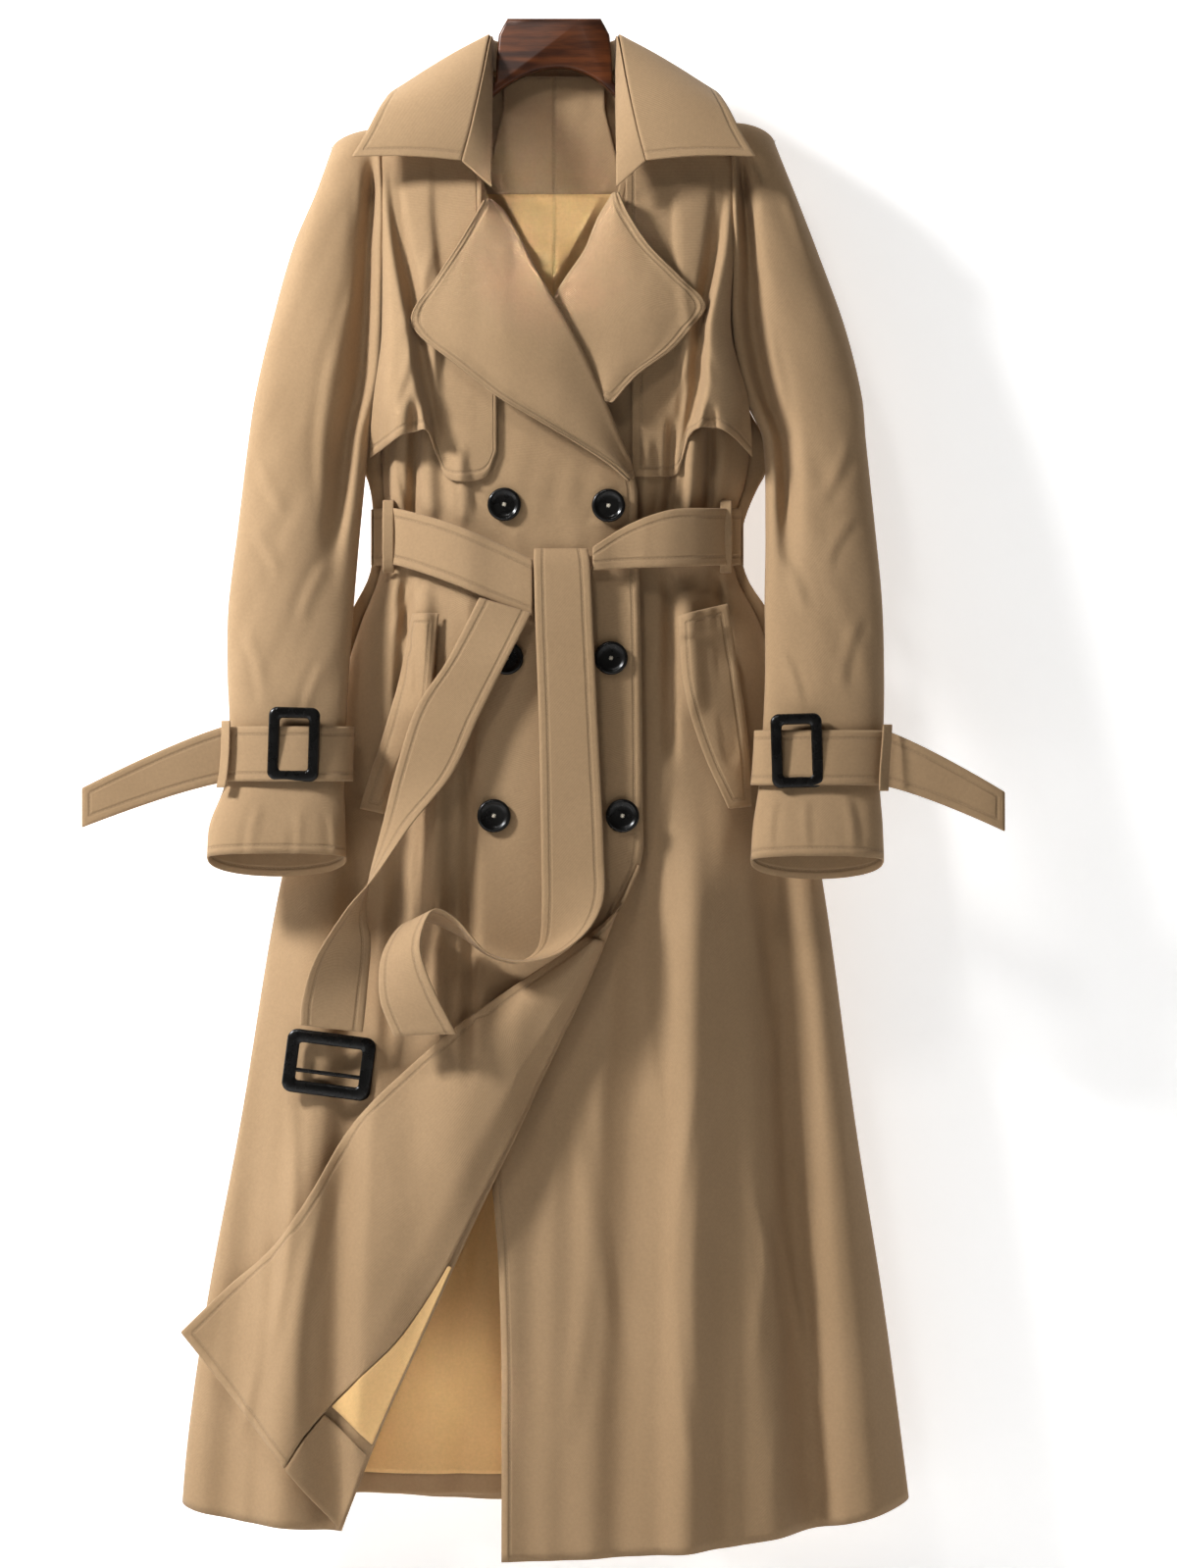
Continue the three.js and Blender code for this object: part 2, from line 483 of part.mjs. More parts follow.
// Back halves, which meet at the centre seam
function backs() {
  for (const [name, side] of [['back_left', -1], ['back_right', 1]]) {
    add(name, wall((u, v) => {
      const edge = side < 0 ? -140 : 144;
      const dip = 13 * ease((NECK_HALF - Math.abs(edge) * (1 - u ** 1.2)) / NECK_HALF);
      const top = shoulder(edge * (1 - u ** 1.2)) - dip;
      const hem = read(BACK_HEM, 'x', mix(side * 290, 0, u), 'z');
      const z = mix(top, hem, v ** ROW_CROWD);
      const seam = read(BODY, 'z', z, side < 0 ? 'left' : 'right');
      const x = mix(seam, side * BACK_SEAM_GAP, u ** 1.2);
      return [x, -bodyDepth(x, z, 'back'), z];
    }, {
      across: 11, down: 18, inward: side < 0 ? 1 : -1, level: [0], plumb: [1],
      seamTop: true,
    }), cloth);
  }
}

// Patch on the inside of the back, between two heights and two side lines
function backPatch(name, { left, right, top, end, across, down, material }) {
  add(name, wall((u, v) => {
    const z = mix(top, end, v);
    const x = mix(left(z), right(z), u);
    return [x, -bodyDepth(x, z, 'back') + CLOTH * 2 + INSIDE_GAP, z];
  }, { across, down }), material);
}

function insides() {
  const neck = (z) => NECK_HALF - 11 + Math.max(0, -70 - z) * 0.25;
  backPatch('neck_facing', {
    left: (z) => -neck(z), right: neck, top: -56, end: -137, across: 5, down: 4,
    material: cloth,
  });
  backPatch('lining_upper', {
    left: () => -62, right: () => 62, top: -137 - SEAM_GAP, end: -262, across: 5,
    down: 4, material: lining,
  });
  backPatch('lining_skirt', {
    left: () => -226, right: () => 30, top: -860, end: -1161, across: 9, down: 6,
    material: lining,
  });
  backPatch('hem_band_back', {
    left: () => -262, right: () => 30, top: -1161 - SEAM_GAP, end: -1177, across: 10,
    down: 1, material: cloth,
  });
}

// Facing, lining and hem band that show on the turned-back corner
function turnbackPieces() {
  const seam = (v) => read(FACING_SEAM, 'v', v, 't');
  const gap = 0.012;
  add('facing_right', wall((u, v) => turnbackPoint(u * seam(mix(0.17, 1, v)), mix(0.17, 1, v), 3),
    { across: 8, down: 14 }), cloth);
  const start = 0.72;
  add('lining_turnback', wall((u, v) => {
    const at = mix(start, HEM_BAND_V - gap, v);
    return turnbackPoint(mix(seam(at) + gap, 0.995, u), at, 3);
  }, { across: 5, down: 8 }), lining);
  add('hem_band_turnback', wall((u, v) => {
    const at = mix(HEM_BAND_V, 1, v);
    return turnbackPoint(mix(seam(at) + gap, 0.995, u), at, 3);
  }, { across: 5, down: 3 }), cloth);
}

function lapels() {
  for (const [name, rows, layer, rise, inward] of [
    ['lapel_right', LEFT_LAPEL, overLayer, 7.6, 1], ['lapel_left', RIGHT_LAPEL, frontLayer, 5.6, -1],
  ]) {
    add(name, wall((u, v) => {
      const x = mix(read(rows, 'v', v, 'rx'), read(rows, 'v', v, 'ox'), u);
      const z = mix(read(rows, 'v', v, 'rz'), read(rows, 'v', v, 'oz'), u);
      const spring = 3 * Math.sin(Math.PI * Math.min(1, u * 1.2)) + rise + 10 * u;
      return [x, layer(x, z, 2) + spring, z];
    }, { across: 5, down: 10, inward }), cloth);
  }
}

// Storm flaps, sewn in at the shoulder and armhole and free along the lower rim
function stormFlaps() {
  const sides = [
    { name: 'storm_flap_right', rows: LEFT_STORM, side: 'left', inner: -45, layer: overLayer },
    { name: 'storm_flap_left', rows: RIGHT_STORM, side: 'right', inner: 62, layer: frontLayer },
  ];
  for (const { name, rows, side, inner, layer } of sides) {
    add(name, wall((u, v) => {
      const armhole = side === 'left' ? -138 : 144;
      const top = mix(shoulder(armhole), shoulder(inner), u) - FLAP_TOP;
      const z = mix(top, read(rows, 'u', u, 'z'), v ** 1.5);
      const seam = read(BODY, 'z', Math.max(z, -300), side) - Math.sign(armhole) * 1.2;
      const flare = Math.sign(armhole) * 8 * ease((v - 0.7) / 0.3);
      const near = mix(Math.sign(armhole) * 68, inner, ease((-150 - z) / 80));
      const x = mix(seam + flare, near, u);
      const inside = side === 'left' ? Math.max(x, seam) : Math.min(x, seam);
      const out = read(rows, 'u', u, 'out') * ease((v - 0.15) / 0.85);
      return [x, layer(inside, z, side === 'left' ? 3 : 2) + out, z];
    }, { across: 12, down: 7, inward: side === 'left' ? -1 : 1 }), cloth);
  }
}

// Sleeve half: u runs from the edge beside the body round to the outer edge
function sleevePoint(rows, u, v, side, proud) {
  const edge = rows[0].inner;
  const bottom = rows[rows.length - 1].z;
  const ridge = rows[0].z + SLEEVE_TOP.mid * Math.sin(Math.PI * u) * 0.5 + SLEEVE_TOP.outer * u;
  const rim = side > 0 ? 0 : -CUFF_RIM * Math.sin(Math.PI * u);
  const z = mix(ridge, bottom + rim, v ** SLEEVE_CROWD);
  const outer = read(rows, 'z', z, 'outer') + Math.sign(edge) * proud;
  const inner = read(rows, 'z', z, 'inner') - Math.sign(edge) * (proud - SEAM_GAP);
  const mid = read(rows, 'z', z, 'mid');
  const half = read(rows, 'z', z, 'half') + proud;
  const open = read(rows, 'z', z, 'open');
  const turn = Math.PI * u;
  const x = (inner + outer) / 2 + (inner - outer) / 2 * Math.cos(turn);
  const fall = clamp((ridge - z) / SHOULDER_ROUND, 0, 1);
  const round = Math.sqrt(1 - (1 - fall) ** 2);
  const valley = 9 * Math.exp(-(((u - 0.3) / 0.1) ** 2)) * ease((rows[1].z - z) / 40)
    * ease((z + 470) / 120);
  const belly = (half * Math.sin(turn) ** 0.75 + open * (1 - ease(u * 2.4)) - valley) * round;
  return [x, mid + side * (SLEEVE_GAP + belly), z];
}

function sleeves() {
  const kinds = [['right', LEFT_SLEEVE], ['left', RIGHT_SLEEVE]];
  for (const [name, rows] of kinds) {
    const mirrored = rows === RIGHT_SLEEVE;
    add(`sleeve_upper_${name}`, wall((u, v) => sleevePoint(rows, u, v, 1, 0),
      { across: 10, down: 18, inward: mirrored ? -1 : 1, level: [0, 1], seamTop: true }), cloth);
    add(`sleeve_under_${name}`, wall((u, v) => sleevePoint(rows, u, v, -1, 0),
      { across: 8, down: 15, inward: mirrored ? 1 : -1, level: [0, 1], seamTop: true }), cloth);
  }
}

// Ring point of a cuff at a height, standing proud of the sleeve
function cuffPoint(rows, turn, z, proud) {
  const outer = read(rows, 'z', z, 'outer');
  const inner = read(rows, 'z', z, 'inner');
  const half = read(rows, 'z', z, 'half') + proud;
  const middle = (inner + outer) / 2;
  const reach = Math.abs(inner - outer) / 2 + proud;
  const lift = Math.sign(Math.sin(turn)) * Math.abs(Math.sin(turn)) ** 0.75;
  return [middle + reach * Math.cos(turn), read(rows, 'z', z, 'mid') + half * lift, z];
}

// Strap round each cuff, with the free end that stands out to the side
function cuffStraps() {
  const kinds = [
    { name: 'right', rows: LEFT_SLEEVE, top: -563, tip: -369, drop: -42, sign: -1 },
    { name: 'left', rows: RIGHT_SLEEVE, top: -566, tip: 353, drop: -42, sign: 1 },
  ];
  for (const { name, rows, top, tip, drop, sign } of kinds) {
    const band = wall((u, v) => cuffPoint(rows, 2 * Math.PI * u, top - STRAP_WIDTH * v, STRAP_PROUD),
      { across: 22, down: 1, wrap: true, inward: -1 });
    const root = cuffPoint(rows, Math.PI / 2 + sign * -1.15, top - STRAP_WIDTH / 2, STRAP_PROUD);
    const end = wall((u, v) => {
      const x = mix(root[0], tip, u);
      const fall = drop * u ** 1.2 + (0.5 - v) * mix(STRAP_WIDTH, 36, u) - 6 * u * (0.5 - v);
      return [x, root[1] + 0.4 + 2 * Math.sin(Math.PI * u), root[2] + fall];
    }, { across: 6, down: 1 });
    add(`cuff_strap_${name}`, joined([band, end]), cloth);
    add(`cuff_strap_loop_${name}`, wall((u, v) => {
      const turn = Math.PI / 2 - sign * (0.95 + (v - 0.5) * 0.3);
      return cuffPoint(rows, turn, top + 4 - (STRAP_WIDTH + 8) * u, STRAP_PROUD + 8.1);
    }, { across: 3, down: 3, inward: -1 }), cloth);
  }
}

// Rectangular buckle: a rounded frame, with its face toward the viewer
function buckleFrame({ width, height, bar, thick }) {
  const round = (shape, w, h, r) => {
    shape.moveTo(-w + r, -h);
    shape.lineTo(w - r, -h);
    shape.absarc(w - r, -h + r, r, -Math.PI / 2, 0);
    shape.lineTo(w, h - r);
    shape.absarc(w - r, h - r, r, 0, Math.PI / 2);
    shape.lineTo(-w + r, h);
    shape.absarc(-w + r, h - r, r, Math.PI / 2, Math.PI);
    shape.lineTo(-w, -h + r);
    shape.absarc(-w + r, -h + r, r, Math.PI, Math.PI * 1.5);
    return shape;
  };
  const outline = round(new THREE.Shape(), width / 2, height / 2, bar * 0.7);
  outline.holes.push(round(new THREE.Path(), width / 2 - bar, height / 2 - bar, 2));
  const frame = new THREE.ExtrudeGeometry(outline, {
    depth: thick, bevelEnabled: false, curveSegments: 4,
  });
  return frame.rotateX(Math.PI / 2);
}

function placed(geometry, x, depth, z, roll) {
  return geometry.rotateY(roll).translate(x, -depth, z);
}

function buckles() {
  const left = cuffPoint(LEFT_SLEEVE, Math.PI / 2, -577, STRAP_PROUD);
  add('cuff_buckle_right', placed(buckleFrame(CUFF_BUCKLE), -203, left[1] + 4.8, -577, 0.03), trim);
  const right = cuffPoint(RIGHT_SLEEVE, Math.PI / 2, -582, STRAP_PROUD);
  add('cuff_buckle_left', placed(buckleFrame(CUFF_BUCKLE), 190, right[1] + 4, -582, -0.03), trim);
  add('belt_buckle', placed(buckleFrame(BELT_BUCKLE), -177, 62.4, -829, 0.13), trim);
}

function buttons() {
  for (const { name, x, z } of BUTTONS) {
    const r = BUTTON_RADIUS;
    const t = BUTTON_THICK;
    const profile = [
      [0, 0], [r * 0.8, 0], [r, t * 0.45], [r * 0.96, t], [r * 0.78, t], [r * 0.62, t * 0.6],
      [0, t * 0.55],
    ].map(([a, b]) => new THREE.Vector2(a, b));
    const button = new THREE.LatheGeometry(profile, 14).rotateX(Math.PI);
    add(name, placed(button, x, overLayer(x, z, 1) + SEAM_GAP + 0.9, z, 0), trim);
  }
}

// Collar: one side of the table is mirrored for the other
function collarRow(s) {
  const side = s < 0.5 ? -1 : 1;
  const place = 1 - Math.abs(s - 0.5) * 2;
  const get = (column) => read(COLLAR, 's', place, column);
  const fold = [side * get('fx'), get('fd'), get('fz')];
  const outer = [side * get('ox'), get('od'), get('oz')];
  const neck = [side * get('nx'), get('nd'), get('nz')];
  return { fold, outer, neck };
}

function collar() {
  add('collar_fall', wall((u, v) => {
    const { fold, outer } = collarRow(u);
    const arch = 5 * Math.sin(Math.PI * v);
    const point = fold.map((value, i) => mix(value, outer[i], v));
    return [point[0], point[1] + (point[1] > 0 ? 1 : -1) * arch * 0.5, point[2] + arch * 0.4];
  }, { across: 24, down: 3 }), cloth);
  add('collar_stand', wall((u, v) => {
    const { fold, neck } = collarRow(u);
    const point = fold.map((value, i) => mix(value, neck[i], mix(0.06, 0.97, v)));
    const tuck = 2 * (1 - v);
    const side = Math.sign(point[0]) * Math.min(1, Math.abs(point[0]) / 30);
    const behind = 1 - Math.min(1, Math.abs(point[0]) / 45);
    return [point[0] - side * tuck, point[1] + behind * tuck, point[2] - tuck * 0.6];
  }, { across: 24, down: 2, inward: 1 }), cloth);
}

function belt() {
  const part = (rows, layer) => (u, v) => {
    const x = read(rows, 'v', u, 'x');
    const z = read(rows, 'v', u, 'z') + (0.5 - v) * 2 * read(rows, 'v', u, 'half');
    const seam = clamp(x, -134.5, 139.5);
    const turned = layer(seam, read(rows, 'v', u, 'z'), 2) + read(rows, 'v', u, 'out');
    return [x, turned, z];
  };
  add('belt_front_right', wall(part(BELT_LEFT, overLayer), { across: 12, down: 2 }), cloth);
  add('belt_front_left', wall(part(BELT_RIGHT, overLayer), { across: 12, down: 2 }), cloth);
  add('belt_back', wall((u, v) => {
    const turn = Math.PI * u;
    const x = 2.5 - 148 * Math.cos(turn);
    const z = -412 + (0.5 - v) * BELT_WIDTH;
    return [x, 1 - 37 * Math.sin(turn) ** 0.7, z];
  }, { across: 24, down: 2, inward: 1 }), cloth);
  for (const [name, rows, steps] of [
    ['belt_tail_long', LONG_TAIL, 30], ['belt_tail_short', SHORT_TAIL, 22],
  ]) {
    add(name, wall((u, v) => {
      const point = (edge) => ['x', 'd', 'z'].map((axis) => read(rows, 'v', v, edge + axis));
      const a = point('a');
      return point('b').map((value, i) => mix(a[i], value, u));
    }, { across: 2, down: steps }), cloth);
  }
  for (const [name, x] of [['belt_loop_right', -131], ['belt_loop_left', 136]]) {
    add(name, wall((u, v) => {
      const out = 8.5 + 18 * Math.sin(Math.PI * v) ** 0.4;
      return [x + (u - 0.5) * 8, frontLayer(x, -412, 2) + out, -376 - 72 * v];
    }, { across: 2, down: 10 }), cloth);
  }
}

function pocketWelts() {
  for (const [name, rows, rise] of [
    ['pocket_welt_right', LEFT_WELT, 3], ['pocket_welt_left', RIGHT_WELT, 1],
  ]) {
    add(name, wall((u, v) => {
      const x = mix(read(rows, 'v', v, 'ax'), read(rows, 'v', v, 'bx'), u);
      const z = mix(read(rows, 'v', v, 'az'), read(rows, 'v', v, 'bz'), u);
      return [x, overLayer(x, z, 2) + rise, z];
    }, { across: 3, down: 7 }), cloth);
  }
}

// Wooden hanger: flat-topped neck between the collar ends, and arms inside the shoulders
function hanger() {
  const outline = new THREE.Shape();
  outline.moveTo(-37, 0);
  outline.lineTo(37, 0);
  outline.lineTo(44, -13);
  outline.lineTo(46.5, -50);
  outline.lineTo(138, -106);
  outline.quadraticCurveTo(146, -114, 140, -124);
  outline.quadraticCurveTo(96, -104, 47, -60);
  outline.quadraticCurveTo(6, -18, -47, -60);
  outline.quadraticCurveTo(-96, -104, -138, -124);
  outline.quadraticCurveTo(-144, -114, -136, -106);
  outline.lineTo(-46.5, -50);
  outline.lineTo(-44, -13);
  const solid = new THREE.ExtrudeGeometry(outline, {
    depth: HANGER_THICK, bevelEnabled: false, curveSegments: 8,
  });
  add('hanger', solid.rotateX(Math.PI / 2).translate(0, HANGER_THICK / 2, 0), wood);
}

hanger();
backs();
insides();
frontLeft();
frontRight();
turnbackPieces();
stormFlaps();
lapels();
collar();
sleeves();
cuffStraps();
pocketWelts();
buttons();
belt();
buckles();

export default coat;
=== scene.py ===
import bpy
import math
import numpy as np
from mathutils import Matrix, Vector


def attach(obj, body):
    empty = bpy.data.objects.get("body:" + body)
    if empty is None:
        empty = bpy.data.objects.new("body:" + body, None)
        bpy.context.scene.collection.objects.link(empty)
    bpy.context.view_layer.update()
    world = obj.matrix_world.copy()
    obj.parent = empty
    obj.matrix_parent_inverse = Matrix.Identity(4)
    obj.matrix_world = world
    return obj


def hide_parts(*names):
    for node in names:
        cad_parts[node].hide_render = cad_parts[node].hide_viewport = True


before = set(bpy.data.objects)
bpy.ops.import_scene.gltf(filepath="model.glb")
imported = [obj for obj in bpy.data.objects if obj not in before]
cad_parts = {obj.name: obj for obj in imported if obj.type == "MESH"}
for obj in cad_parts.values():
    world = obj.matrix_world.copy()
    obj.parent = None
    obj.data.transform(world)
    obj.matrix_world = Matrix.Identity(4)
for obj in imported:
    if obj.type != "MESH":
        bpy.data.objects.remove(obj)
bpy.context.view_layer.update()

# The surfaces follow the same tables as the solids, in millimetres, with
# points written as x, depth toward the viewer, z.
CLOTH = 1.4
LAYER = 1.7
MM = 0.001


def table(columns, rows):
    return {name: np.array([row[i] for row in rows], float) for i, name in enumerate(columns.split())}


BODY = table("z left right front back edge", [
    (-90, -140, 144, 24, 20, 15), (-180, -137, 144, 31, 23, 17), (-245, -137, 141, 36, 24, 16),
    (-300, -139, 150, 38, 24, 9), (-335, -138, 156, 38, 24, 0.2), (-365, -136, 153, 37, 23, 0.2),
    (-410, -135, 140, 34, 22, 0.2), (-445, -140, 146, 35, 23, 0.2), (-484, -155, 165, 37, 25, 0.2),
    (-577, -183, 188, 40, 29, 0.2), (-671, -214, 211, 43, 33, 0.2), (-881, -250, 240, 48, 38, 0.2),
    (-1015, -275, 261, 51, 42, 0.2), (-1127, -291, 276, 54, 45, 0.2),
    (-1225, -299, 288, 56, 47, 0.2),
])
BACK_HEM = table("x z", [
    (-297, -1176.5), (-150, -1176), (-41, -1182), (150, -1184), (284, -1174.5),
])
RIGHT_EDGE = table("z x", [
    (-43, -53), (-100, -53), (-142, -53), (-218, -10), (-271, 21), (-331, 47), (-367, 64),
    (-400, 66), (-513, 69), (-632, 70), (-668, 69), (-707, 51), (-785, 16), (-843, -12),
    (-917, -47), (-991, -82), (-1050, -108), (-1110, -135), (-1154, -153), (-1197, -168),
])
LEFT_EDGE = table("z x", [
    (-43, 53), (-137, 51), (-239, 8), (-296, -12), (-359, -32), (-421, -50), (-530, -58),
    (-686, -57), (-842, -53), (-919, -49), (-973, -44), (-1076, -41), (-1219, -41),
])
FRONT_FOLDS = table("x0 z0 x1 z1 wide high lean", [
    (-120, -300, -126, -408, 13, 8, 0), (-100, -320, -98, -408, 12, 7, 0),
    (112, -318, 106, -408, 12, 9, 0), (137, -318, 130, -408, 11, 6, 0),
    (-104, -440, -96, -590, 12, 6, 0), (105, -440, 112, -560, 13, 5, 0),
    (-92, -560, -90, -830, 24, 12, 0.55), (-186, -620, -206, -1120, 34, 6, 0),
    (-140, -600, -150, -820, 30, -5, 0), (112, -620, 104, -1195, 34, 8, 0),
    (163, -600, 205, -1195, 36, -11, 0), (30, -800, 20, -1195, 40, -4, 0),
])
BACK_FOLDS = table("x0 z0 x1 z1 wide high lean", [
    (-70, -320, -62, -410, 16, 5, 0), (66, -320, 60, -410, 16, 5, 0),
    (-100, -450, -150, -1150, 34, 7, 0), (96, -450, 150, -1150, 34, 8, 0),
    (-34, -520, -50, -1150, 30, -5, 0), (36, -500, 56, -1150, 30, -5, 0),
])
LEFT_SLEEVE = table("z outer inner mid half open", [
    (-88, -172, -141, 0, 17, 15), (-104, -177, -141, 0, 20, 15), (-138, -189, -139, 1, 24, 16),
    (-181, -207, -138, 2, 27, 16), (-246, -225, -138, 4, 28, 13), (-300, -237, -141, 8, 27, 6),
    (-335, -242, -146, 12, 26, 0), (-406, -250, -153, 20, 25, 0), (-470, -257, -158, 29, 23, 0),
    (-520, -257, -161, 38, 21, 0), (-564, -255, -163, 46, 19, 0), (-607, -258, -164, 51, 19, 0),
    (-640, -270, -163, 55, 22, 0), (-666, -272, -162, 57, 23, 0),
])
RIGHT_SLEEVE = table("z outer inner mid half open", [
    (-83, 172, 145, 0, 17, 15), (-97, 175, 145, 0, 20, 15), (-143, 193, 145, 1, 24, 16),
    (-190, 211, 145, 2, 27, 16), (-246, 231, 144, 4, 28, 13), (-300, 244, 154, 8, 27, 6),
    (-335, 247, 165, 12, 26, 0), (-406, 254, 167, 20, 25, 0), (-464, 259, 166, 29, 23, 0),
    (-520, 260, 166, 40, 21, 0), (-564, 259, 164, 49, 19, 0), (-607, 256, 161, 53, 19, 0),
    (-640, 258, 156, 56, 22, 0), (-668, 259, 154, 58, 23, 0),
])
TURNBACK = table("v ax az bx bz", [
    (0.0, 66, -676, 67, -672), (0.1, 49, -707, 51, -707), (0.2, 14, -736, 35, -743),
    (0.3, -25, -762, 16, -785), (0.4, -73, -796, -12, -843), (0.5, -113, -830, -29, -880),
    (0.6, -157, -874, -47, -917), (0.7, -190, -929, -74, -974), (0.8, -222, -973, -105, -1043),
    (0.9, -258, -1006, -136, -1112), (1.0, -294, -1041, -168, -1194),
])
FACING_SEAM = table("v t", [
    (0.0, 0.98), (0.7, 0.97), (0.8, 0.9), (0.88, 0.78), (0.96, 0.68), (1.0, 0.66),
])
LEFT_LAPEL = table("v rx rz ox oz", [
    (0.0, -49, -148, -54, -150), (0.1, -35, -171, -73, -182), (0.2, -20, -200, -94, -213),
    (0.3, -8, -221, -111, -238), (0.4, 5, -243, -106, -255), (0.5, 19, -269, -76, -279),
    (0.6, 30, -293, -46, -303), (0.7, 41, -318, -16, -321), (0.8, 50, -340, 15, -339),
    (0.9, 58, -356, 42, -356), (1.0, 63, -367, 59, -370),
])
RIGHT_LAPEL = table("v rx rz ox oz", [
    (0.0, 46, -142, 50, -143), (0.14, 37, -163, 60, -163), (0.28, 28, -186, 76, -186),
    (0.42, 19, -209, 99, -209), (0.56, 11, -236, 119, -231), (0.67, 16, -254, 107, -250),
    (0.78, 27, -272, 92, -267), (0.9, 36, -290, 66, -286), (1.0, 43, -306, 46, -308),
])
LEFT_STORM = table("u z out", [
    (0.0, -349, 12), (0.12, -342, 15), (0.26, -334, 16), (0.4, -330, 15), (0.48, -332, 12),
    (0.54, -350, 4), (0.6, -366, 2), (0.8, -369, 1), (0.93, -364, 1), (1.0, -346, 1),
])
RIGHT_STORM = table("u z out", [
    (0.0, -349, 12), (0.14, -336, 15), (0.3, -328, 16), (0.48, -329, 14), (0.55, -336, 9),
    (0.58, -350, 4), (0.62, -362, 2), (0.8, -365, 1), (1.0, -365, 1),
])
COLLAR = table("s fx fd fz ox od oz nx nd nz", [
    (0.0, 73, 51, -118, 158, 48, -115, 49, 49, -139),
    (0.2, 66, 44, -90, 147, 40, -95, 49.2, 40, -112),
    (0.4, 58, 28, -50, 136, 26, -72, 49.5, 25, -76), (0.54, 52, 5, -15, 126, 0, -57, 49.7, 3, -40),
    (0.62, 50, -9, -15, 119, -14, -63, 49, -9, -40),
    (0.7, 44, -18, -16, 108, -29, -75, 44, -15, -42),
    (0.85, 23, -25, -18, 60, -40, -92, 25, -20, -46), (1.0, 0, -28, -19, 0, -43, -98, 0, -22, -50),
])
BELT_LEFT = table("v x z half out", [
    (0, -143, -412, 22, 0.5), (0.2, -124, -413, 22, 12), (0.5, -80, -427, 23, 12),
    (0.8, -40, -444, 23, 9), (1, -17, -454, 22, 7),
])
BELT_RIGHT = table("v x z half out", [
    (0, 31, -431, 9, 8), (0.3, 60, -421, 17, 9), (0.55, 92, -415, 22, 13),
    (0.85, 130, -413, 22, 10), (1, 148, -412, 22, 0.5),
])
LONG_TAIL = table("v ax ad az bx bd bz", [
    (0.0, -15, 50, -423, 26, 50, -423), (0.05, -15, 57, -436, 28, 57, -436),
    (0.12, -14, 60, -477, 30, 60, -477), (0.3, -11, 62, -560, 34, 62, -560),
    (0.5, -9, 65, -670, 39, 65, -668), (0.58, -9, 67, -708, 38, 72, -700),
    (0.63, -12, 66, -735, 26, 80, -722), (0.68, -28, 64, -747, 2, 88, -740),
    (0.73, -50, 64, -742, -28, 92, -746), (0.78, -72, 65, -727, -52, 95, -738),
    (0.83, -96, 67, -716, -76, 96, -712), (0.88, -119, 74, -718, -95, 101, -706),
    (0.92, -134, 84, -742, -104, 108, -733), (0.96, -135, 88, -775, -94, 106, -766),
    (1.0, -124, 88, -804, -76, 98, -802),
])
SHORT_TAIL = table("v ax ad az bx bd bz", [
    (0.0, -58, 56, -462, -18, 56, -474), (0.14, -83, 62, -511, -36, 64, -509),
    (0.28, -108, 61, -550, -59, 64, -555), (0.4, -124, 62, -600, -80, 66, -600),
    (0.5, -133, 66, -636, -112, 76, -640), (0.58, -144, 64, -678, -140, 84, -680),
    (0.66, -148, 62, -706, -162, 82, -706), (0.76, -144, 58, -732, -186, 76, -744),
    (0.88, -147, 58, -772, -196, 68, -776), (1.0, -150, 58, -802, -198, 64, -796),
])
LEFT_WELT = table("v ax az bx bz", [
    (0, -112, -474, -91, -474), (0.4, -126, -540, -99, -548), (1, -153, -627, -134, -631),
])
RIGHT_WELT = table("v ax az bx bz", [
    (0, 98, -476, 137, -466), (0.35, 102, -530, 147, -530), (0.7, 118, -583, 154, -585),
    (1, 138, -627, 156, -625),
])

# Deeper parts of the folds than the solids carry: ridges and the valleys between them
FRONT_DEEP = table("x0 z0 x1 z1 wide high lean", [
    (113, -600, 105, -1196, 27, 9, 0), (170, -540, 206, -1196, 30, -15, 0), (214, -700, 256, -1196, 25, 10, 0),
    (134, -560, 136, -1196, 16, 3, 0), (70, -620, 52, -1196, 24, -5, 0), (34, -800, 26, -1196, 26, 4, 0),
    (-12, -760, -20, -1196, 20, -3, 0), (-196, -860, -218, -1196, 26, 7, 0), (-150, -590, -176, -1196, 22, -9, 0),
    (-232, -760, -262, -1196, 22, -8, 0), (-68, -520, -66, -850, 9, -9, 0), (-122, -560, -130, -850, 14, -8, 0),
    (-109, -300, -112, -409, 7, -9, 0), (-128, -310, -136, -409, 6, -6, 0), (124, -306, 120, -409, 7, -9, 0),
    (94, -316, 90, -409, 7, -8, 0), (74, -330, 72, -409, 8, 4, 0), (-74, -340, -72, -409, 9, 4, 0),
    (-116, -430, -122, -560, 9, -8, 0), (90, -430, 92, -600, 9, -7, 0), (128, -430, 140, -600, 9, -7, 0),
])
BACK_DEEP = table("x0 z0 x1 z1 wide high lean", [
    (-104, -470, -158, -1176, 24, 5, 0), (100, -470, 156, -1176, 24, 5, 0), (-66, -480, -96, -1176, 22, -5, 0),
    (66, -480, 98, -1176, 22, -5, 0), (-170, -640, -214, -1176, 24, -6, 0), (172, -640, 212, -1176, 24, -6, 0),
    (-88, -310, -84, -409, 8, -5, 0), (86, -310, 82, -409, 8, -5, 0), (-46, -330, -44, -409, 9, -4, 0),
    (46, -330, 44, -409, 9, -4, 0), (-84, -432, -88, -560, 9, -4, 0), (84, -432, 90, -560, 9, -4, 0),
])
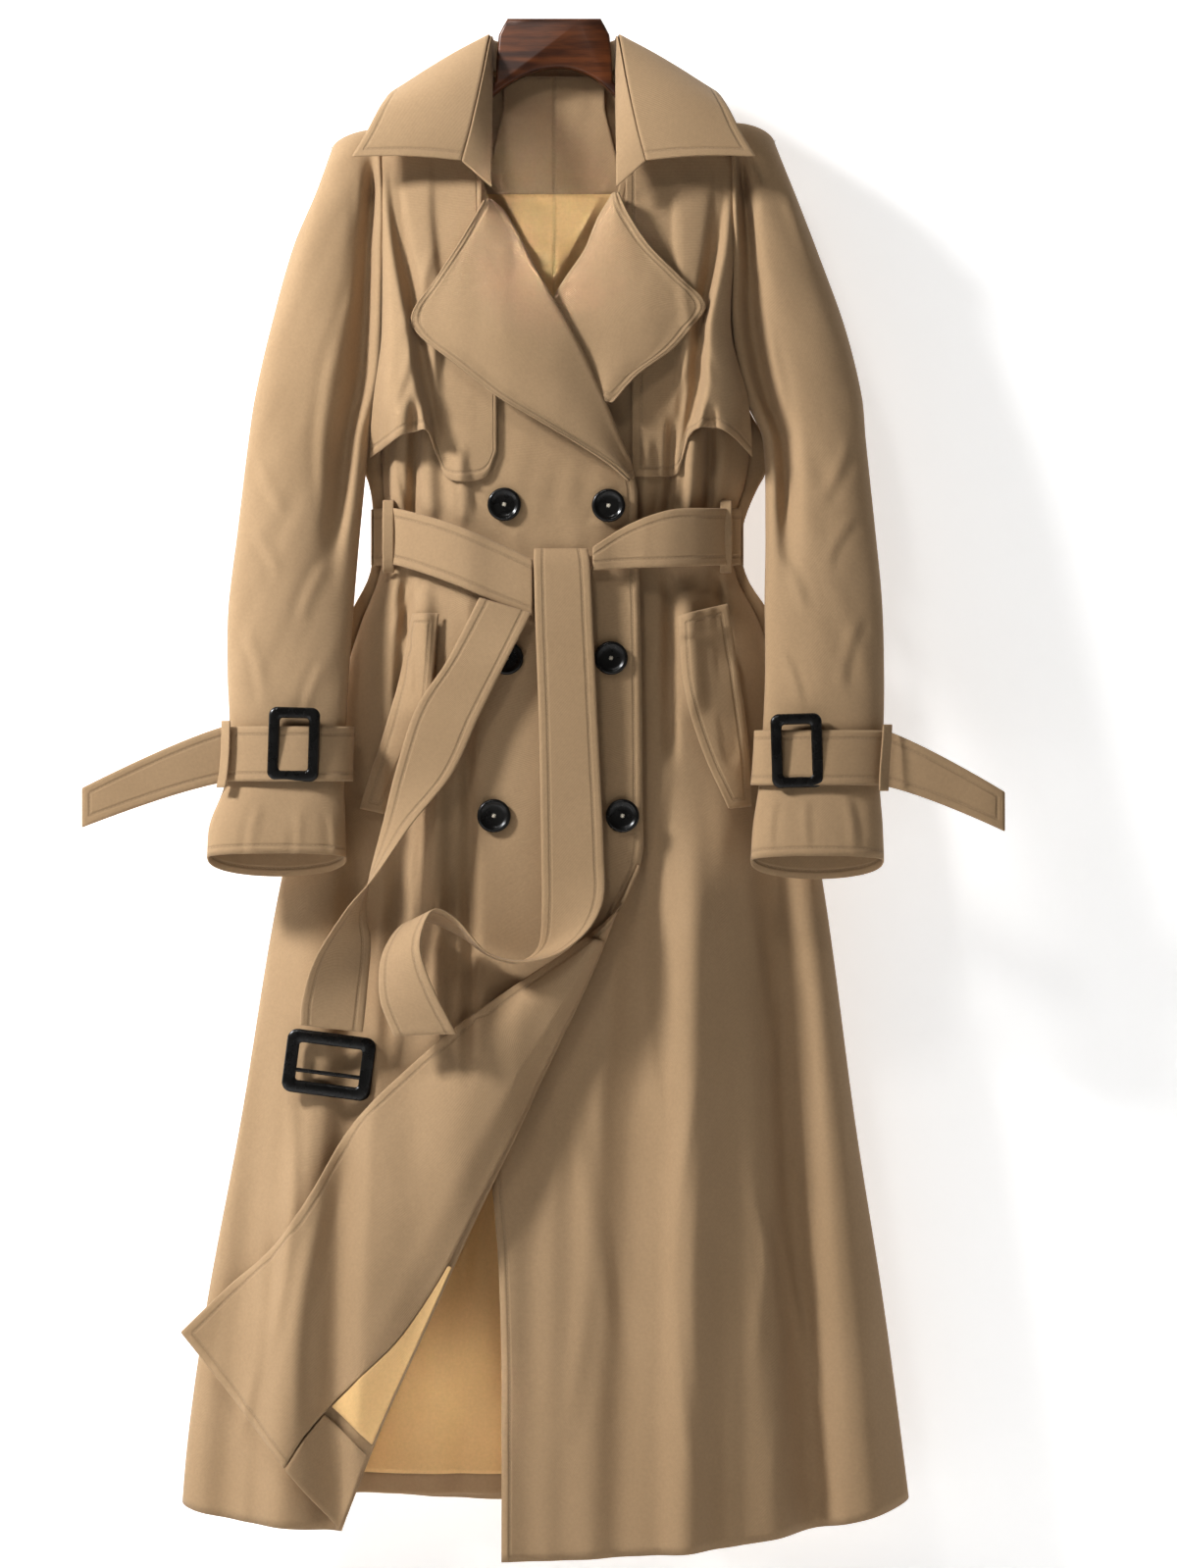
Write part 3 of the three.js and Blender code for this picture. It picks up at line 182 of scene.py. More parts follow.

# Smaller creases: from one point to another, half width and height
FRONT_CREASES = table("x0 z0 x1 z1 wide high", [
    (-128, -345, -112, -405, 5, 2.2), (-86, -352, -80, -404, 5, 1.8), (-66, -360, -62, -404, 4, 1.4),
    (96, -340, 90, -404, 5, 2.0), (124, -336, 121, -404, 5, 2.4), (78, -352, 74, -400, 4, 1.3),
    (-125, -438, -112, -520, 6, 2.0), (-70, -452, -74, -560, 7, 1.6), (-104, -440, -128, -498, 5, 1.6),
    (84, -440, 78, -530, 6, 1.8), (126, -436, 150, -540, 7, 1.8), (60, -446, 62, -520, 5, 1.0),
    (-96, -560, -98, -800, 6, 2.0), (-78, -600, -76, -780, 7, 1.6), (-118, -620, -124, -800, 8, 1.6),
    (-214, -800, -236, -1100, 9, 1.8), (-170, -900, -196, -1160, 10, 1.8), (-232, -940, -256, -1150, 8, 1.4),
    (96, -560, 88, -900, 9, 1.8), (140, -640, 152, -1100, 10, 2.2), (182, -700, 224, -1150, 8, 2.4),
    (206, -720, 246, -1120, 8, 1.8), (60, -700, 54, -1100, 12, 1.5), (10, -820, 2, -1150, 12, 1.5),
    (-30, -860, -32, -1180, 9, 1.2), (150, -900, 170, -1190, 9, 2.0), (120, -800, 116, -1190, 8, 1.6),
    (-20, -420, -60, -375, 6, 1.6), (20, -410, 62, -372, 6, 1.4), (-110, -250, -132, -320, 6, 1.3),
    (100, -200, 128, -300, 7, 1.4), (-96, -180, -124, -260, 7, 1.2), (118, -250, 92, -330, 6, 1.2),
])
BACK_CREASES = table("x0 z0 x1 z1 wide high", [
    (-96, -330, -88, -408, 6, 2.0), (-30, -340, -28, -408, 6, 1.6), (36, -330, 34, -408, 6, 1.8),
    (98, -326, 92, -408, 6, 2.2), (-110, -440, -130, -560, 7, 1.8), (-52, -440, -60, -600, 8, 1.6),
    (46, -440, 60, -620, 8, 1.8), (112, -440, 132, -560, 7, 1.8), (-160, -700, -200, -1150, 12, 2.2),
    (-90, -640, -104, -1160, 11, 1.8), (90, -620, 112, -1160, 11, 2.0), (170, -700, 214, -1150, 12, 2.2),
    (-20, -620, -24, -1160, 9, 1.0), (24, -600, 28, -1160, 9, 1.0), (-110, -160, -60, -230, 9, 1.2),
    (106, -170, 58, -240, 9, 1.2), (-120, -250, -80, -300, 7, 1.2), (122, -250, 84, -306, 7, 1.2),
])
SLEEVE_CREASES = table("x0 z0 x1 z1 wide high", [
    (150, -112, 168, -250, 10, 2.4), (163, -230, 178, -400, 9, 2.0), (186, -118, 214, -210, 11, 1.6),
    (236, -330, 206, -392, 9, 1.5), (242, -392, 214, -440, 8, 1.3), (172, -418, 200, -476, 8, 1.5),
    (246, -470, 226, -540, 8, 1.3), (178, -500, 196, -552, 6, 1.2), (200, -618, 202, -662, 6, 1.2),
    (228, -612, 236, -664, 7, 1.5), (176, -616, 172, -662, 6, 1.2),
])


# Number helpers that work on whole grids
def ease(t):
    c = np.clip(t, 0, 1)
    return c * c * (3 - 2 * c)


def mix(a, b, t):
    return a + (b - a) * t


def read(rows, key, place, column):
    """Smooth curve through one column of a table, at places along its key column."""
    sign = 1 if rows[key][-1] > rows[key][0] else -1
    k = rows[key] * sign
    c = rows[column]
    last = len(k) - 1
    at = np.clip(np.asarray(place, float) * sign, k[0], k[-1])
    i = np.searchsorted(k[1:last], at, side="left")
    up = np.minimum(np.arange(last + 1) + 1, last)
    down = np.maximum(np.arange(last + 1) - 1, 0)
    slope = (c[up] - c[down]) / (k[up] - k[down])
    step = k[i + 1] - k[i]
    t = (at - k[i]) / step
    a = 2 * t ** 3 - 3 * t ** 2 + 1
    b = t ** 3 - 2 * t ** 2 + t
    e = t ** 3 - t ** 2
    return a * c[i] + (1 - a) * c[i + 1] + step * (b * slope[i] + e * slope[i + 1])


def lattice(i, j, seed):
    value = np.sin(i * 127.1 + j * 311.7 + seed * 74.7) * 43758.5453
    return value - np.floor(value)


def uneven(x, z, wide, tall, seed):
    """Smooth random relief between -1 and 1, with cells of the given size."""
    p, q = x / wide, z / tall
    i, j = np.floor(p), np.floor(q)
    s, t = ease(p - i), ease(q - j)
    low = mix(lattice(i, j, seed), lattice(i + 1, j, seed), s)
    high = mix(lattice(i, j + 1, seed), lattice(i + 1, j + 1, seed), s)
    return 2 * mix(low, high, t) - 1


def shoulder(x):
    return -43 - 0.6 * np.maximum(0, np.abs(x) - 51)


def folds_at(folds, x, z):
    total = np.zeros(np.broadcast(x, z).shape)
    for n in range(len(folds["x0"])):
        f = {key: folds[key][n] for key in folds}
        along = (z - f["z0"]) / (f["z1"] - f["z0"])
        at_hem = f["z1"] < -1100
        inside = (along > 0) & ((along < 1) | at_hem)
        along = np.clip(along, 0, 1)
        fade = ease(np.minimum(along, 1 - along) * 5 + np.where((along > 0.5) & at_hem, 1, 0))
        off = (x - mix(f["x0"], f["x1"], along)) / f["wide"]
        skewed = np.where(off > 0, off / (1 - f["lean"]), off)
        bump = np.cos(np.clip(skewed, -1, 1) * np.pi / 2) ** 2
        total += np.where(inside, f["high"] * fade * bump, 0)
    return total


def creases_at(rows, x, z):
    """Creases from one point to another: a soft ridge with a sharper trough beside it."""
    total = np.zeros(np.broadcast(x, z).shape)
    for n in range(len(rows["x0"])):
        x0, z0, x1, z1, wide, high = (rows[key][n] for key in ("x0", "z0", "x1", "z1", "wide", "high"))
        dx, dz = x1 - x0, z1 - z0
        span = math.hypot(dx, dz)
        along = ((x - x0) * dx + (z - z0) * dz) / span ** 2
        bow = 0.06 * span * np.sin(np.pi * np.clip(along, 0, 1)) * (1 if n % 2 else -1)
        off = (((x - x0) * dz - (z - z0) * dx) / span + bow) / wide
        fade = ease(np.minimum(along, 1 - along) * 3.5)
        total += high * fade * (np.exp(-off ** 2 * 3) - 0.6 * np.exp(-(off + 0.9) ** 2 * 4))
    return total


def relief(x, z, side):
    """Soft unevenness of hanging cloth: stretched downward in the skirt, busier at the waist."""
    seed = 3 if side == "front" else 11
    waist = np.exp(-((z + 415) / 60) ** 2)
    skirt = ease((-460 - z) / 300)
    broad = uneven(x, z, 52, 210, seed) * (1.0 + 1.2 * skirt)
    middle = uneven(x + 0.12 * z, z, 24, 110, seed + 1) * (0.5 + 0.9 * waist)
    fine = uneven(x - 0.2 * z, z, 11, 34, seed + 2) * (0.22 + 0.35 * waist) * (1 - 0.7 * skirt)
    creases = creases_at(FRONT_CREASES if side == "front" else BACK_CREASES, x, z)
    return broad + middle + fine + creases


def body_depth(x, z, side):
    left = read(BODY, "z", z, "left")
    right = read(BODY, "z", z, "right")
    across = np.clip(np.abs(x - (left + right) / 2) / ((right - left) / 2), 0, 1)
    edge = read(BODY, "z", z, "edge")
    full = read(BODY, "z", z, side)
    crown = (1 - across ** 2.4) ** 0.55
    spread = ease((51 - np.abs(x)) / 14)
    fall = np.clip((shoulder(x) - z) / 26 + spread, 0, 1)
    folds = folds_at(FRONT_FOLDS if side == "front" else BACK_FOLDS, x, z)
    folds = folds + folds_at(FRONT_DEEP if side == "front" else BACK_DEEP, x, z)
    near_top = ease((shoulder(x) - z) / 40 + spread)
    folds = folds + relief(x, z, side) * near_top
    round_off = np.sqrt(1 - (1 - fall) ** 2)
    return 0.15 + (edge + (full - edge) * crown) * round_off + folds * np.minimum(1, crown * 1.5)


def overlap_lift(x, z):
    return 8 * ease((x + 118) / 56) * ease((-100 - z) / 80)


def front_layer(x, z, layers):
    return body_depth(x, z, "front") + layers * LAYER


def over_layer(x, z, layers):
    return front_layer(x, z, layers) + overlap_lift(x, z)


def unit(vectors):
    return vectors / np.maximum(np.linalg.norm(vectors, axis=-1, keepdims=True), 1e-9)


def shell(surface, across, down, thick=CLOTH, inward=-1, wrap=False, level=(), plumb=(),
          seam_top=False, stitched="", centre=False):
    """Closed cloth wall over a surface, with rounded rims, cut coordinates and seam distances."""
    cols = across if wrap else across + 1
    u, v = np.meshgrid(np.arange(cols) / across, np.linspace(0, 1, down + 1))
    x, d, z = (np.broadcast_to(value, u.shape) for value in surface(u, v))
    grid = np.stack([x, d, z], -1).astype(float)
    if wrap:
        east, west = np.roll(grid, -1, 1), np.roll(grid, 1, 1)
    else:
        east = np.concatenate([grid[:, 1:], grid[:, -1:]], 1)
        west = np.concatenate([grid[:, :1], grid[:, :-1]], 1)
    south = np.concatenate([grid[1:], grid[-1:]], 0)
    north = np.concatenate([grid[:1], grid[:-1]], 0)
    normal = unit(np.cross(east - west, south - north))
    for side in level:
        normal[:, side * across, 1] = 0
    for side in plumb:
        normal[:, side * across, 0] = 0
    if seam_top:
        normal[0, :, 1] = 0
    normal = unit(normal)
    inner = grid + normal * thick * inward
    sideways, downward = unit(east - west), unit(south - north)
    count = grid.shape[0] * cols
    points = [grid.reshape(-1, 3), inner.reshape(-1, 3)]
    faces, inside = [], []

    def quads(a, b, c, e, is_inside):
        faces.append(np.stack([a, b, c, e], -1).reshape(-1, 4))
        inside.append(np.full(faces[-1].shape[0], is_inside))

    at = np.arange(count).reshape(down + 1, cols)
    if wrap:
        at = np.concatenate([at, at[:, :1]], 1)
    quads(at[:-1, :-1], at[1:, :-1], at[1:, 1:], at[:-1, 1:], False)
    back = at + count
    quads(back[:-1, :-1], back[:-1, 1:], back[1:, 1:], back[1:, :-1], True)
    rim_at = count * 2
    rims = [(at[0], -downward[0], False), (at[-1], downward[-1], True)]
    if not wrap:
        rims += [(at[:, 0], -sideways[:, 0], True), (at[:, -1], sideways[:, -1], False)]
    flat_outer, flat_inner = points[0], points[1]
    soft = 0.0 if wrap or level or plumb or seam_top else 0.42 * thick
    for line, way, turned in rims:
        ids = line[:len(way)]
        middle = (flat_outer[ids] + flat_inner[ids]) / 2 + way * soft
        points.append(middle)
        new = rim_at + np.arange(len(ids))
        if wrap:
            new = np.append(new, new[0])
        rim_at += len(ids)
        for a, b, mark in ((line, new, False), (new, line + count, True)):
            if turned:
                quads(a[:-1], b[:-1], b[1:], a[1:], mark)
            else:
                quads(a[:-1], a[1:], b[1:], b[:-1], mark)
    steps_u = np.linalg.norm(np.diff(grid, axis=1), axis=-1)
    steps_v = np.linalg.norm(np.diff(grid, axis=0), axis=-1)
    run_u = np.concatenate([np.zeros((down + 1, 1)), np.cumsum(steps_u, 1)], 1)
    run_v = np.concatenate([np.zeros((1, cols)), np.cumsum(steps_v, 0)], 0)
    far = np.full((down + 1, cols), 900.0)
    seams = np.stack([
        run_u if "w" in stitched else far, run_u[:, -1:] - run_u if "e" in stitched else far,
        run_v if "n" in stitched else far, run_v[-1:] - run_v if "s" in stitched else far,
    ], -1).reshape(-1, 4)
    if centre:
        seams[:, 0] = np.abs(grid[..., 0]).ravel() + 6.5
    cut = np.stack([run_u, run_v], -1).reshape(-1, 2)
    extra_ids = np.concatenate([line[:len(way)] for line, way, _ in rims])
    order = np.concatenate([np.arange(count), np.arange(count), extra_ids])
    quad_area = steps_u[:-1].sum() * steps_v.sum() / max(1, steps_v.size * steps_u[:-1].size)
    cells = np.linalg.norm(np.cross(
        grid[1:, 1:] - grid[:-1, :-1], grid[1:, :-1] - grid[:-1, 1:]), axis=-1) / 2
    return {
        "points": np.concatenate(points), "faces": np.concatenate(faces),
        "inside": np.concatenate(inside), "cut": cut[order], "seams": seams[order],
        "wide": float(run_u[:, -1].max()), "long": float(run_v[-1].max()),
        "area": float(cells.sum()) if quad_area else 0.0,
    }


def piece(name, node, parts, outer, inner):
    """One object from its shells, put in place of its solid, which is hidden."""
    points, faces, inside, cuts, seams = [], [], [], [], []
    start = 0
    for part in parts:
        p = part["points"] * MM
        p = np.stack([p[:, 0], -p[:, 1], p[:, 2]], -1)
        f = part["faces"]
        a, b, c, e = (p[f[:, n]] for n in range(4))
        volume = (a * np.cross(b, c)).sum() + (a * np.cross(c, e)).sum()
        if volume < 0:
            f = f[:, ::-1]
        points.append(p)
        faces.append(f + start)
        inside.append(part["inside"])
        cuts.append(part["cut"] * MM)
        seams.append(part["seams"] * MM)
        start += len(p)
    points, faces = np.concatenate(points), np.concatenate(faces)
    inside, cuts, seams = np.concatenate(inside), np.concatenate(cuts), np.concatenate(seams)
    mesh = bpy.data.meshes.new(name)
    mesh.vertices.add(len(points))
    mesh.vertices.foreach_set("co", points.ravel())
    mesh.loops.add(faces.size)
    mesh.loops.foreach_set("vertex_index", faces.ravel().astype(np.int32))
    mesh.polygons.add(len(faces))
    mesh.polygons.foreach_set("loop_start", np.arange(0, faces.size, 4, dtype=np.int32))
    mesh.polygons.foreach_set("loop_total", np.full(len(faces), 4, dtype=np.int32))
    mesh.materials.append(outer)
    mesh.materials.append(inner)
    mesh.polygons.foreach_set("material_index", inside.astype(np.int32))
    layer = mesh.uv_layers.new(name="cut")
    layer.data.foreach_set("uv", cuts[faces.ravel()].ravel())
    attribute = mesh.attributes.new("seams", "FLOAT_COLOR", "POINT")
    attribute.data.foreach_set("color", seams.ravel())
    mesh.update(calc_edges=True)
    mesh.validate()
    mesh.shade_smooth()
    thing = bpy.data.objects.new(name, mesh)
    bpy.context.scene.collection.objects.link(thing)
    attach(thing, "root")
    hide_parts(node)
    wide = max(part["wide"] for part in parts) * MM
    if len(parts) > 1:
        wide = sum(part["wide"] for part in parts) * MM
    wide = max(wide, 0.010)
    return thing


# Materials
def node(tree, kind, **inputs):
    made = tree.nodes.new(kind)
    for name, value in inputs.items():
        key = name.replace("_", " ")
        if isinstance(value, bpy.types.NodeSocket):
            tree.links.new(value, made.inputs[key])
        else:
            made.inputs[key].default_value = value
    return made


def sums(tree, operation, a, b=0.0, c=0.0):
    made = tree.nodes.new("ShaderNodeMath")
    made.operation = operation
    for slot, value in enumerate((a, b, c)):
        if isinstance(value, bpy.types.NodeSocket):
            tree.links.new(value, made.inputs[slot])
        elif made.inputs[slot].enabled or slot < 2:
            made.inputs[slot].default_value = value
    return made.outputs[0]


def band(tree, value, low, high, out_low=0.0, out_high=1.0):
    made = tree.nodes.new("ShaderNodeMapRange")
    made.interpolation_type = "SMOOTHSTEP"
    tree.links.new(value, made.inputs["Value"])
    for key, number in (("From Min", low), ("From Max", high), ("To Min", out_low), ("To Max", out_high)):
        made.inputs[key].default_value = number
    return made.outputs["Result"]


def blend(tree, factor, first, second, mode="MIX"):
    made = tree.nodes.new("ShaderNodeMix")
    made.data_type = "RGBA"
    made.blend_type = mode
    for name, value in (("Factor", factor), ("A", first), ("B", second)):
        sockets = [s for s in made.inputs if s.name == name and (s.type == "RGBA" or name == "Factor")]
        socket = sockets[0]
        if isinstance(value, bpy.types.NodeSocket):
            tree.links.new(value, socket)
        else:
            socket.default_value = value
    return [s for s in made.outputs if s.type == "RGBA"][0]


def start(name):
    material = bpy.data.materials.new(name)
    material.use_nodes = True
    tree = material.node_tree
    tree.nodes.clear()
    out = tree.nodes.new("ShaderNodeOutputMaterial")
    shader = tree.nodes.new("ShaderNodeBsdfPrincipled")
    tree.links.new(shader.outputs[0], out.inputs[0])
    return material, tree, shader


def stitch_mask(tree, offset):
    """1 on the thread of a seam row at this distance from the stitched edges, and on the dent round it; that dent's
    mask also places painted shade.
    """
    seams = tree.nodes.new("ShaderNodeAttribute")
    seams.attribute_name = "seams"
    split = node(tree, "ShaderNodeSeparateColor", Color=seams.outputs["Color"])
    uv = tree.nodes.new("ShaderNodeUVMap")
    uv.uv_map = "cut"
    place = node(tree, "ShaderNodeSeparateXYZ", Vector=uv.outputs[0])
    sides = sums(tree, "MINIMUM", split.outputs[0], split.outputs[1])
    ends = sums(tree, "MINIMUM", split.outputs[2], seams.outputs["Alpha"])
    masks, groove_shade_masks = [], []
    for near, other, run in ((sides, ends, place.outputs[1]), (ends, sides, place.outputs[0])):
        gap = sums(tree, "ABSOLUTE", sums(tree, "SUBTRACT", near, offset))
        inside = band(tree, other, offset - 0.0006, offset - 0.0002)
        line = sums(tree, "MULTIPLY", band(tree, gap, 0.00022, 0.00042, 1.0, 0.0), inside)
        beat = sums(tree, "FRACT", sums(tree, "MULTIPLY", run, 1 / 0.0034))
        dash = band(tree, sums(tree, "ABSOLUTE", sums(tree, "SUBTRACT", beat, 0.5)), 0.30, 0.38, 1.0, 0.0)
        masks.append(sums(tree, "MULTIPLY", line, dash))
        groove_shade_masks.append(sums(tree, "MULTIPLY", band(tree, gap, 0.0, 0.0022, 1.0, 0.0), inside))
    return sums(tree, "MAXIMUM", *masks), sums(tree, "MAXIMUM", *groove_shade_masks)


def fabric(name, colour, dark, light, rough, weave, sheen, rows=(0.0065,), threads=0.6):
    """Woven cloth: twill grain, soft wear in the colour, and stitch rows with the sunken lines beside them, which are
    darkened with painted shade.
    """
    material, tree, shader = start(name)
    uv = tree.nodes.new("ShaderNodeUVMap")
    uv.uv_map = "cut"
    coords = tree.nodes.new("ShaderNodeTexCoord")
    cloud = node(tree, "ShaderNodeTexNoise", Vector=coords.outputs["Object"], Scale=7.0, Detail=4.0)
    speck = node(tree, "ShaderNodeTexNoise", Vector=coords.outputs["Object"], Scale=420.0, Detail=2.0)
    turn = tree.nodes.new("ShaderNodeMapping")
    turn.inputs["Rotation"].default_value = (0, 0, math.radians(63))
    tree.links.new(uv.outputs[0], turn.inputs["Vector"])
    twill = tree.nodes.new("ShaderNodeTexWave")
    tree.links.new(turn.outputs[0], twill.inputs["Vector"])
    twill.inputs["Scale"].default_value = 320.0
    twill.inputs["Distortion"].default_value = 1.2
    twill.inputs["Detail"].default_value = 1.0
    tone = blend(tree, band(tree, cloud.outputs["Factor"] if "Factor" in cloud.outputs else cloud.outputs[0],
                            0.3, 0.7), dark, light)
    tone = blend(tree, 0.5, tone, colour)
    grain = sums(tree, "MULTIPLY_ADD", speck.outputs[0], 0.16, 0.92)
    grain_colour = node(tree, "ShaderNodeCombineColor", Red=grain, Green=grain, Blue=grain)
    tone = blend(tree, 1.0, tone, grain_colour.outputs[0], "MULTIPLY")
    height = sums(tree, "MULTIPLY_ADD", twill.outputs["Factor"] if "Factor" in twill.outputs
                  else twill.outputs[1], weave, sums(tree, "MULTIPLY", speck.outputs[0], weave * 1.6))
    for offset in rows:
        thread, groove_and_painted_shade = stitch_mask(tree, offset)
        # Painted shade: the sunken line round each stitch row is darkened toward a deeper cloth tone.
        tone = blend(tree, sums(tree, "MULTIPLY", groove_and_painted_shade, 0.28), tone, (dark[0] * 0.6, dark[1] * 0.6, dark[2] * 0.6, 1))
        tone = blend(tree, sums(tree, "MULTIPLY", thread, threads), tone, light)
        height = sums(tree, "MULTIPLY_ADD", groove_and_painted_shade, -0.00045, height)
        height = sums(tree, "MULTIPLY_ADD", thread, 0.0002, height)
    bump = node(tree, "ShaderNodeBump", Height=height, Distance=1.0, Strength=1.0)
    tree.links.new(bump.outputs[0], shader.inputs["Normal"])
    tree.links.new(tone, shader.inputs["Base Color"])
    shader.inputs["Roughness"].default_value = rough
    shader.inputs["Sheen Weight"].default_value = sheen
    shader.inputs["Sheen Roughness"].default_value = 0.5
    shader.inputs["Specular IOR Level"].default_value = 0.25
    return material


def wood_material():
    material, tree, shader = start("hanger_wood")
    coords = tree.nodes.new("ShaderNodeTexCoord")
    scaled = tree.nodes.new("ShaderNodeMapping")
    scaled.inputs["Scale"].default_value = (6.0, 60.0, 60.0)
    tree.links.new(coords.outputs["Object"], scaled.inputs["Vector"])
    grain = node(tree, "ShaderNodeTexNoise", Vector=scaled.outputs[0], Scale=2.2, Detail=6.0)
    fine = node(tree, "ShaderNodeTexNoise", Vector=scaled.outputs[0], Scale=14.0, Detail=3.0)
    tone = blend(tree, band(tree, grain.outputs[0], 0.35, 0.65), (0.045, 0.012, 0.003, 1), (0.16, 0.048, 0.012, 1))
    tone = blend(tree, band(tree, fine.outputs[0], 0.55, 0.7, 0.0, 0.35), tone, (0.04, 0.012, 0.005, 1))
    tree.links.new(tone, shader.inputs["Base Color"])
    bump = node(tree, "ShaderNodeBump", Height=fine.outputs[0], Distance=0.0002, Strength=0.5)
    tree.links.new(bump.outputs[0], shader.inputs["Normal"])
    shader.inputs["Roughness"].default_value = 0.45
    shader.inputs["Coat Weight"].default_value = 0.18
    shader.inputs["Coat Roughness"].default_value = 0.2
    return material


def trim_material():
    material, tree, shader = start("black_trim")
    coords = tree.nodes.new("ShaderNodeTexCoord")
    cloud = node(tree, "ShaderNodeTexNoise", Vector=coords.outputs["Object"], Scale=90.0, Detail=3.0)
    tone = blend(tree, cloud.outputs[0], (0.004, 0.004, 0.004, 1), (0.012, 0.011, 0.010, 1))
    tree.links.new(tone, shader.inputs["Base Color"])
    rough = band(tree, cloud.outputs[0], 0.3, 0.7, 0.22, 0.34)
    tree.links.new(rough, shader.inputs["Roughness"])
    return material


def thread_material():
    material, tree, shader = start("pale_thread")
    coords = tree.nodes.new("ShaderNodeTexCoord")
    cloud = node(tree, "ShaderNodeTexNoise", Vector=coords.outputs["Object"], Scale=900.0, Detail=2.0)
    tone = blend(tree, cloud.outputs[0], (0.62, 0.55, 0.44, 1), (0.86, 0.80, 0.68, 1))
    tree.links.new(tone, shader.inputs["Base Color"])
    shader.inputs["Roughness"].default_value = 0.9
    return material


CLOTH_TONES = ((0.455, 0.315, 0.186, 1), (0.428, 0.294, 0.170, 1), (0.482, 0.336, 0.202, 1))
cloth = fabric("coat_cloth", *CLOTH_TONES, rough=0.86, weave=0.00007, sheen=0.12)
cloth_double = fabric("coat_cloth_edges", *CLOTH_TONES, rough=0.86, weave=0.00007, sheen=0.12,
                      rows=(0.0065, 0.0018))
lining = fabric("coat_lining", (0.80, 0.545, 0.262, 1), (0.77, 0.52, 0.245, 1), (0.83, 0.57, 0.278, 1),
                rough=0.5, weave=0.00003, sheen=0.15, threads=0.0)
wood = wood_material()
trim = trim_material()
thread = thread_material()


# Cloth pieces
def cloth_piece(name, node_name, parts, outer=cloth, inner=lining):
    return piece(name, node_name, parts, outer, inner)


def turnback_point(t, v, layers):
    x = mix(read(TURNBACK, "v", v, "ax"), read(TURNBACK, "v", v, "bx"), t)
    z = mix(read(TURNBACK, "v", v, "az"), read(TURNBACK, "v", v, "bz"), t)
    inside = np.clip(x, read(BODY, "z", z, "left") + 14, 200)
    sag = 5 * ease((1 - t) * 4) + 7 * np.sin(np.pi * t) * ease(v * 3)
    wave = 1.6 * uneven(t * 40, v * 300, 13, 60, 31) * ease(t * 5) * ease((1 - t) * 5)
    stand = (5 + sag) * ease(v * 8 + 0.1) + 1.7 * (1 - ease(v * 8))
    return x, over_layer(inside, z, 0) + stand + wave + layers * LAYER, z


def front_right():
    def panel(u, v):
        top = mix(shoulder(-140), shoulder(51), u)
        z = mix(top, mix(-1177, -1196, u ** 0.6), v ** 1.45)
        x = mix(read(BODY, "z", z, "left"), read(RIGHT_EDGE, "z", z, "x"), u ** 1.4)
        return x, over_layer(x, z, 1), z

    def corner(u, v):
        roll = np.clip(u / 0.12, 0, 1)
        x, depth, z = turnback_point(1 - np.maximum(0, u - 0.12) / 0.88, v, 0)
        ax, az = read(TURNBACK, "v", v, "ax"), read(TURNBACK, "v", v, "az")
        bx, bz = read(TURNBACK, "v", v, "bx"), read(TURNBACK, "v", v, "bz")
        span = np.hypot(bx - ax, bz - az) + 1
        under = over_layer(x, z, 1) - CLOTH * 0.6
        radius = (depth - under) / 2
        out = 0.8 * radius * np.sin(np.pi * roll) * ease(span / 30)
        d = (depth + under) / 2 - radius * np.cos(np.pi * roll)
        return x + out * (bx - ax) / span, np.where(roll < 1, d, depth), z + out * (bz - az) / span

    turned = shell(corner, 60, 110, inward=1, stitched="e")
    turned["inside"][:] = False
    cloth_piece("cloth_front_right", "front_right",
                [shell(panel, 84, 210, level=[0], seam_top=True, stitched="e"), turned])


def front_left():
    def panel(u, v):
        top = mix(shoulder(51), shoulder(144), u)
        z = mix(top, mix(-1219, -1175, u ** 1.6), v ** 1.45)
        x = mix(read(LEFT_EDGE, "z", z, "x"), read(BODY, "z", z, "right"), 1 - (1 - u) ** 1.4)
        return x, front_layer(x, z, 0), z

    cloth_piece("cloth_front_left", "front_left",
                [shell(panel, 84, 210, level=[1], seam_top=True, stitched="w")])


def backs():
    for name, side in (("back_left", -1), ("back_right", 1)):
        def half(u, v, side=side):
            edge = -140 if side < 0 else 144
            dip = 13 * ease((51 - abs(edge) * (1 - u ** 1.2)) / 51)
            top = shoulder(edge * (1 - u ** 1.2)) - dip
            z = mix(top, read(BACK_HEM, "x", mix(side * 290, 0, u), "z"), v ** 1.45)
            loose = 9 * np.exp(-((z + 400) / 62) ** 2)
            loose = loose + 11 * np.exp(-((z + 346) / 25) ** 2) + 9 * np.exp(-((z + 474) / 26) ** 2)
            seam = read(BODY, "z", z, "left" if side < 0 else "right") + side * loose
            x = mix(seam, side * 0.75, u ** 1.2)
            pucker = -0.5 * np.exp(-((np.abs(x) - 0.75) / 2.2) ** 2)
            return x, -body_depth(x, z, "back") - pucker, z

        cloth_piece("cloth_" + name, name, [shell(
            half, 56, 150, inward=1 if side < 0 else -1, level=[0], plumb=[1], seam_top=True, stitched="e")],
            inner=cloth)


def back_patch(name, node_name, left, right, top, end, across, down, outer):
    def patch(u, v):
        z = mix(top, end, v)
        x = mix(left(z), right(z), u)
        seam = -0.7 * np.exp(-(x / 1.6) ** 2)
        return x, -body_depth(x, z, "back") + 6.8 + seam, z

    cloth_piece(name, node_name, [shell(patch, across, down, centre=True)], outer=outer, inner=outer)


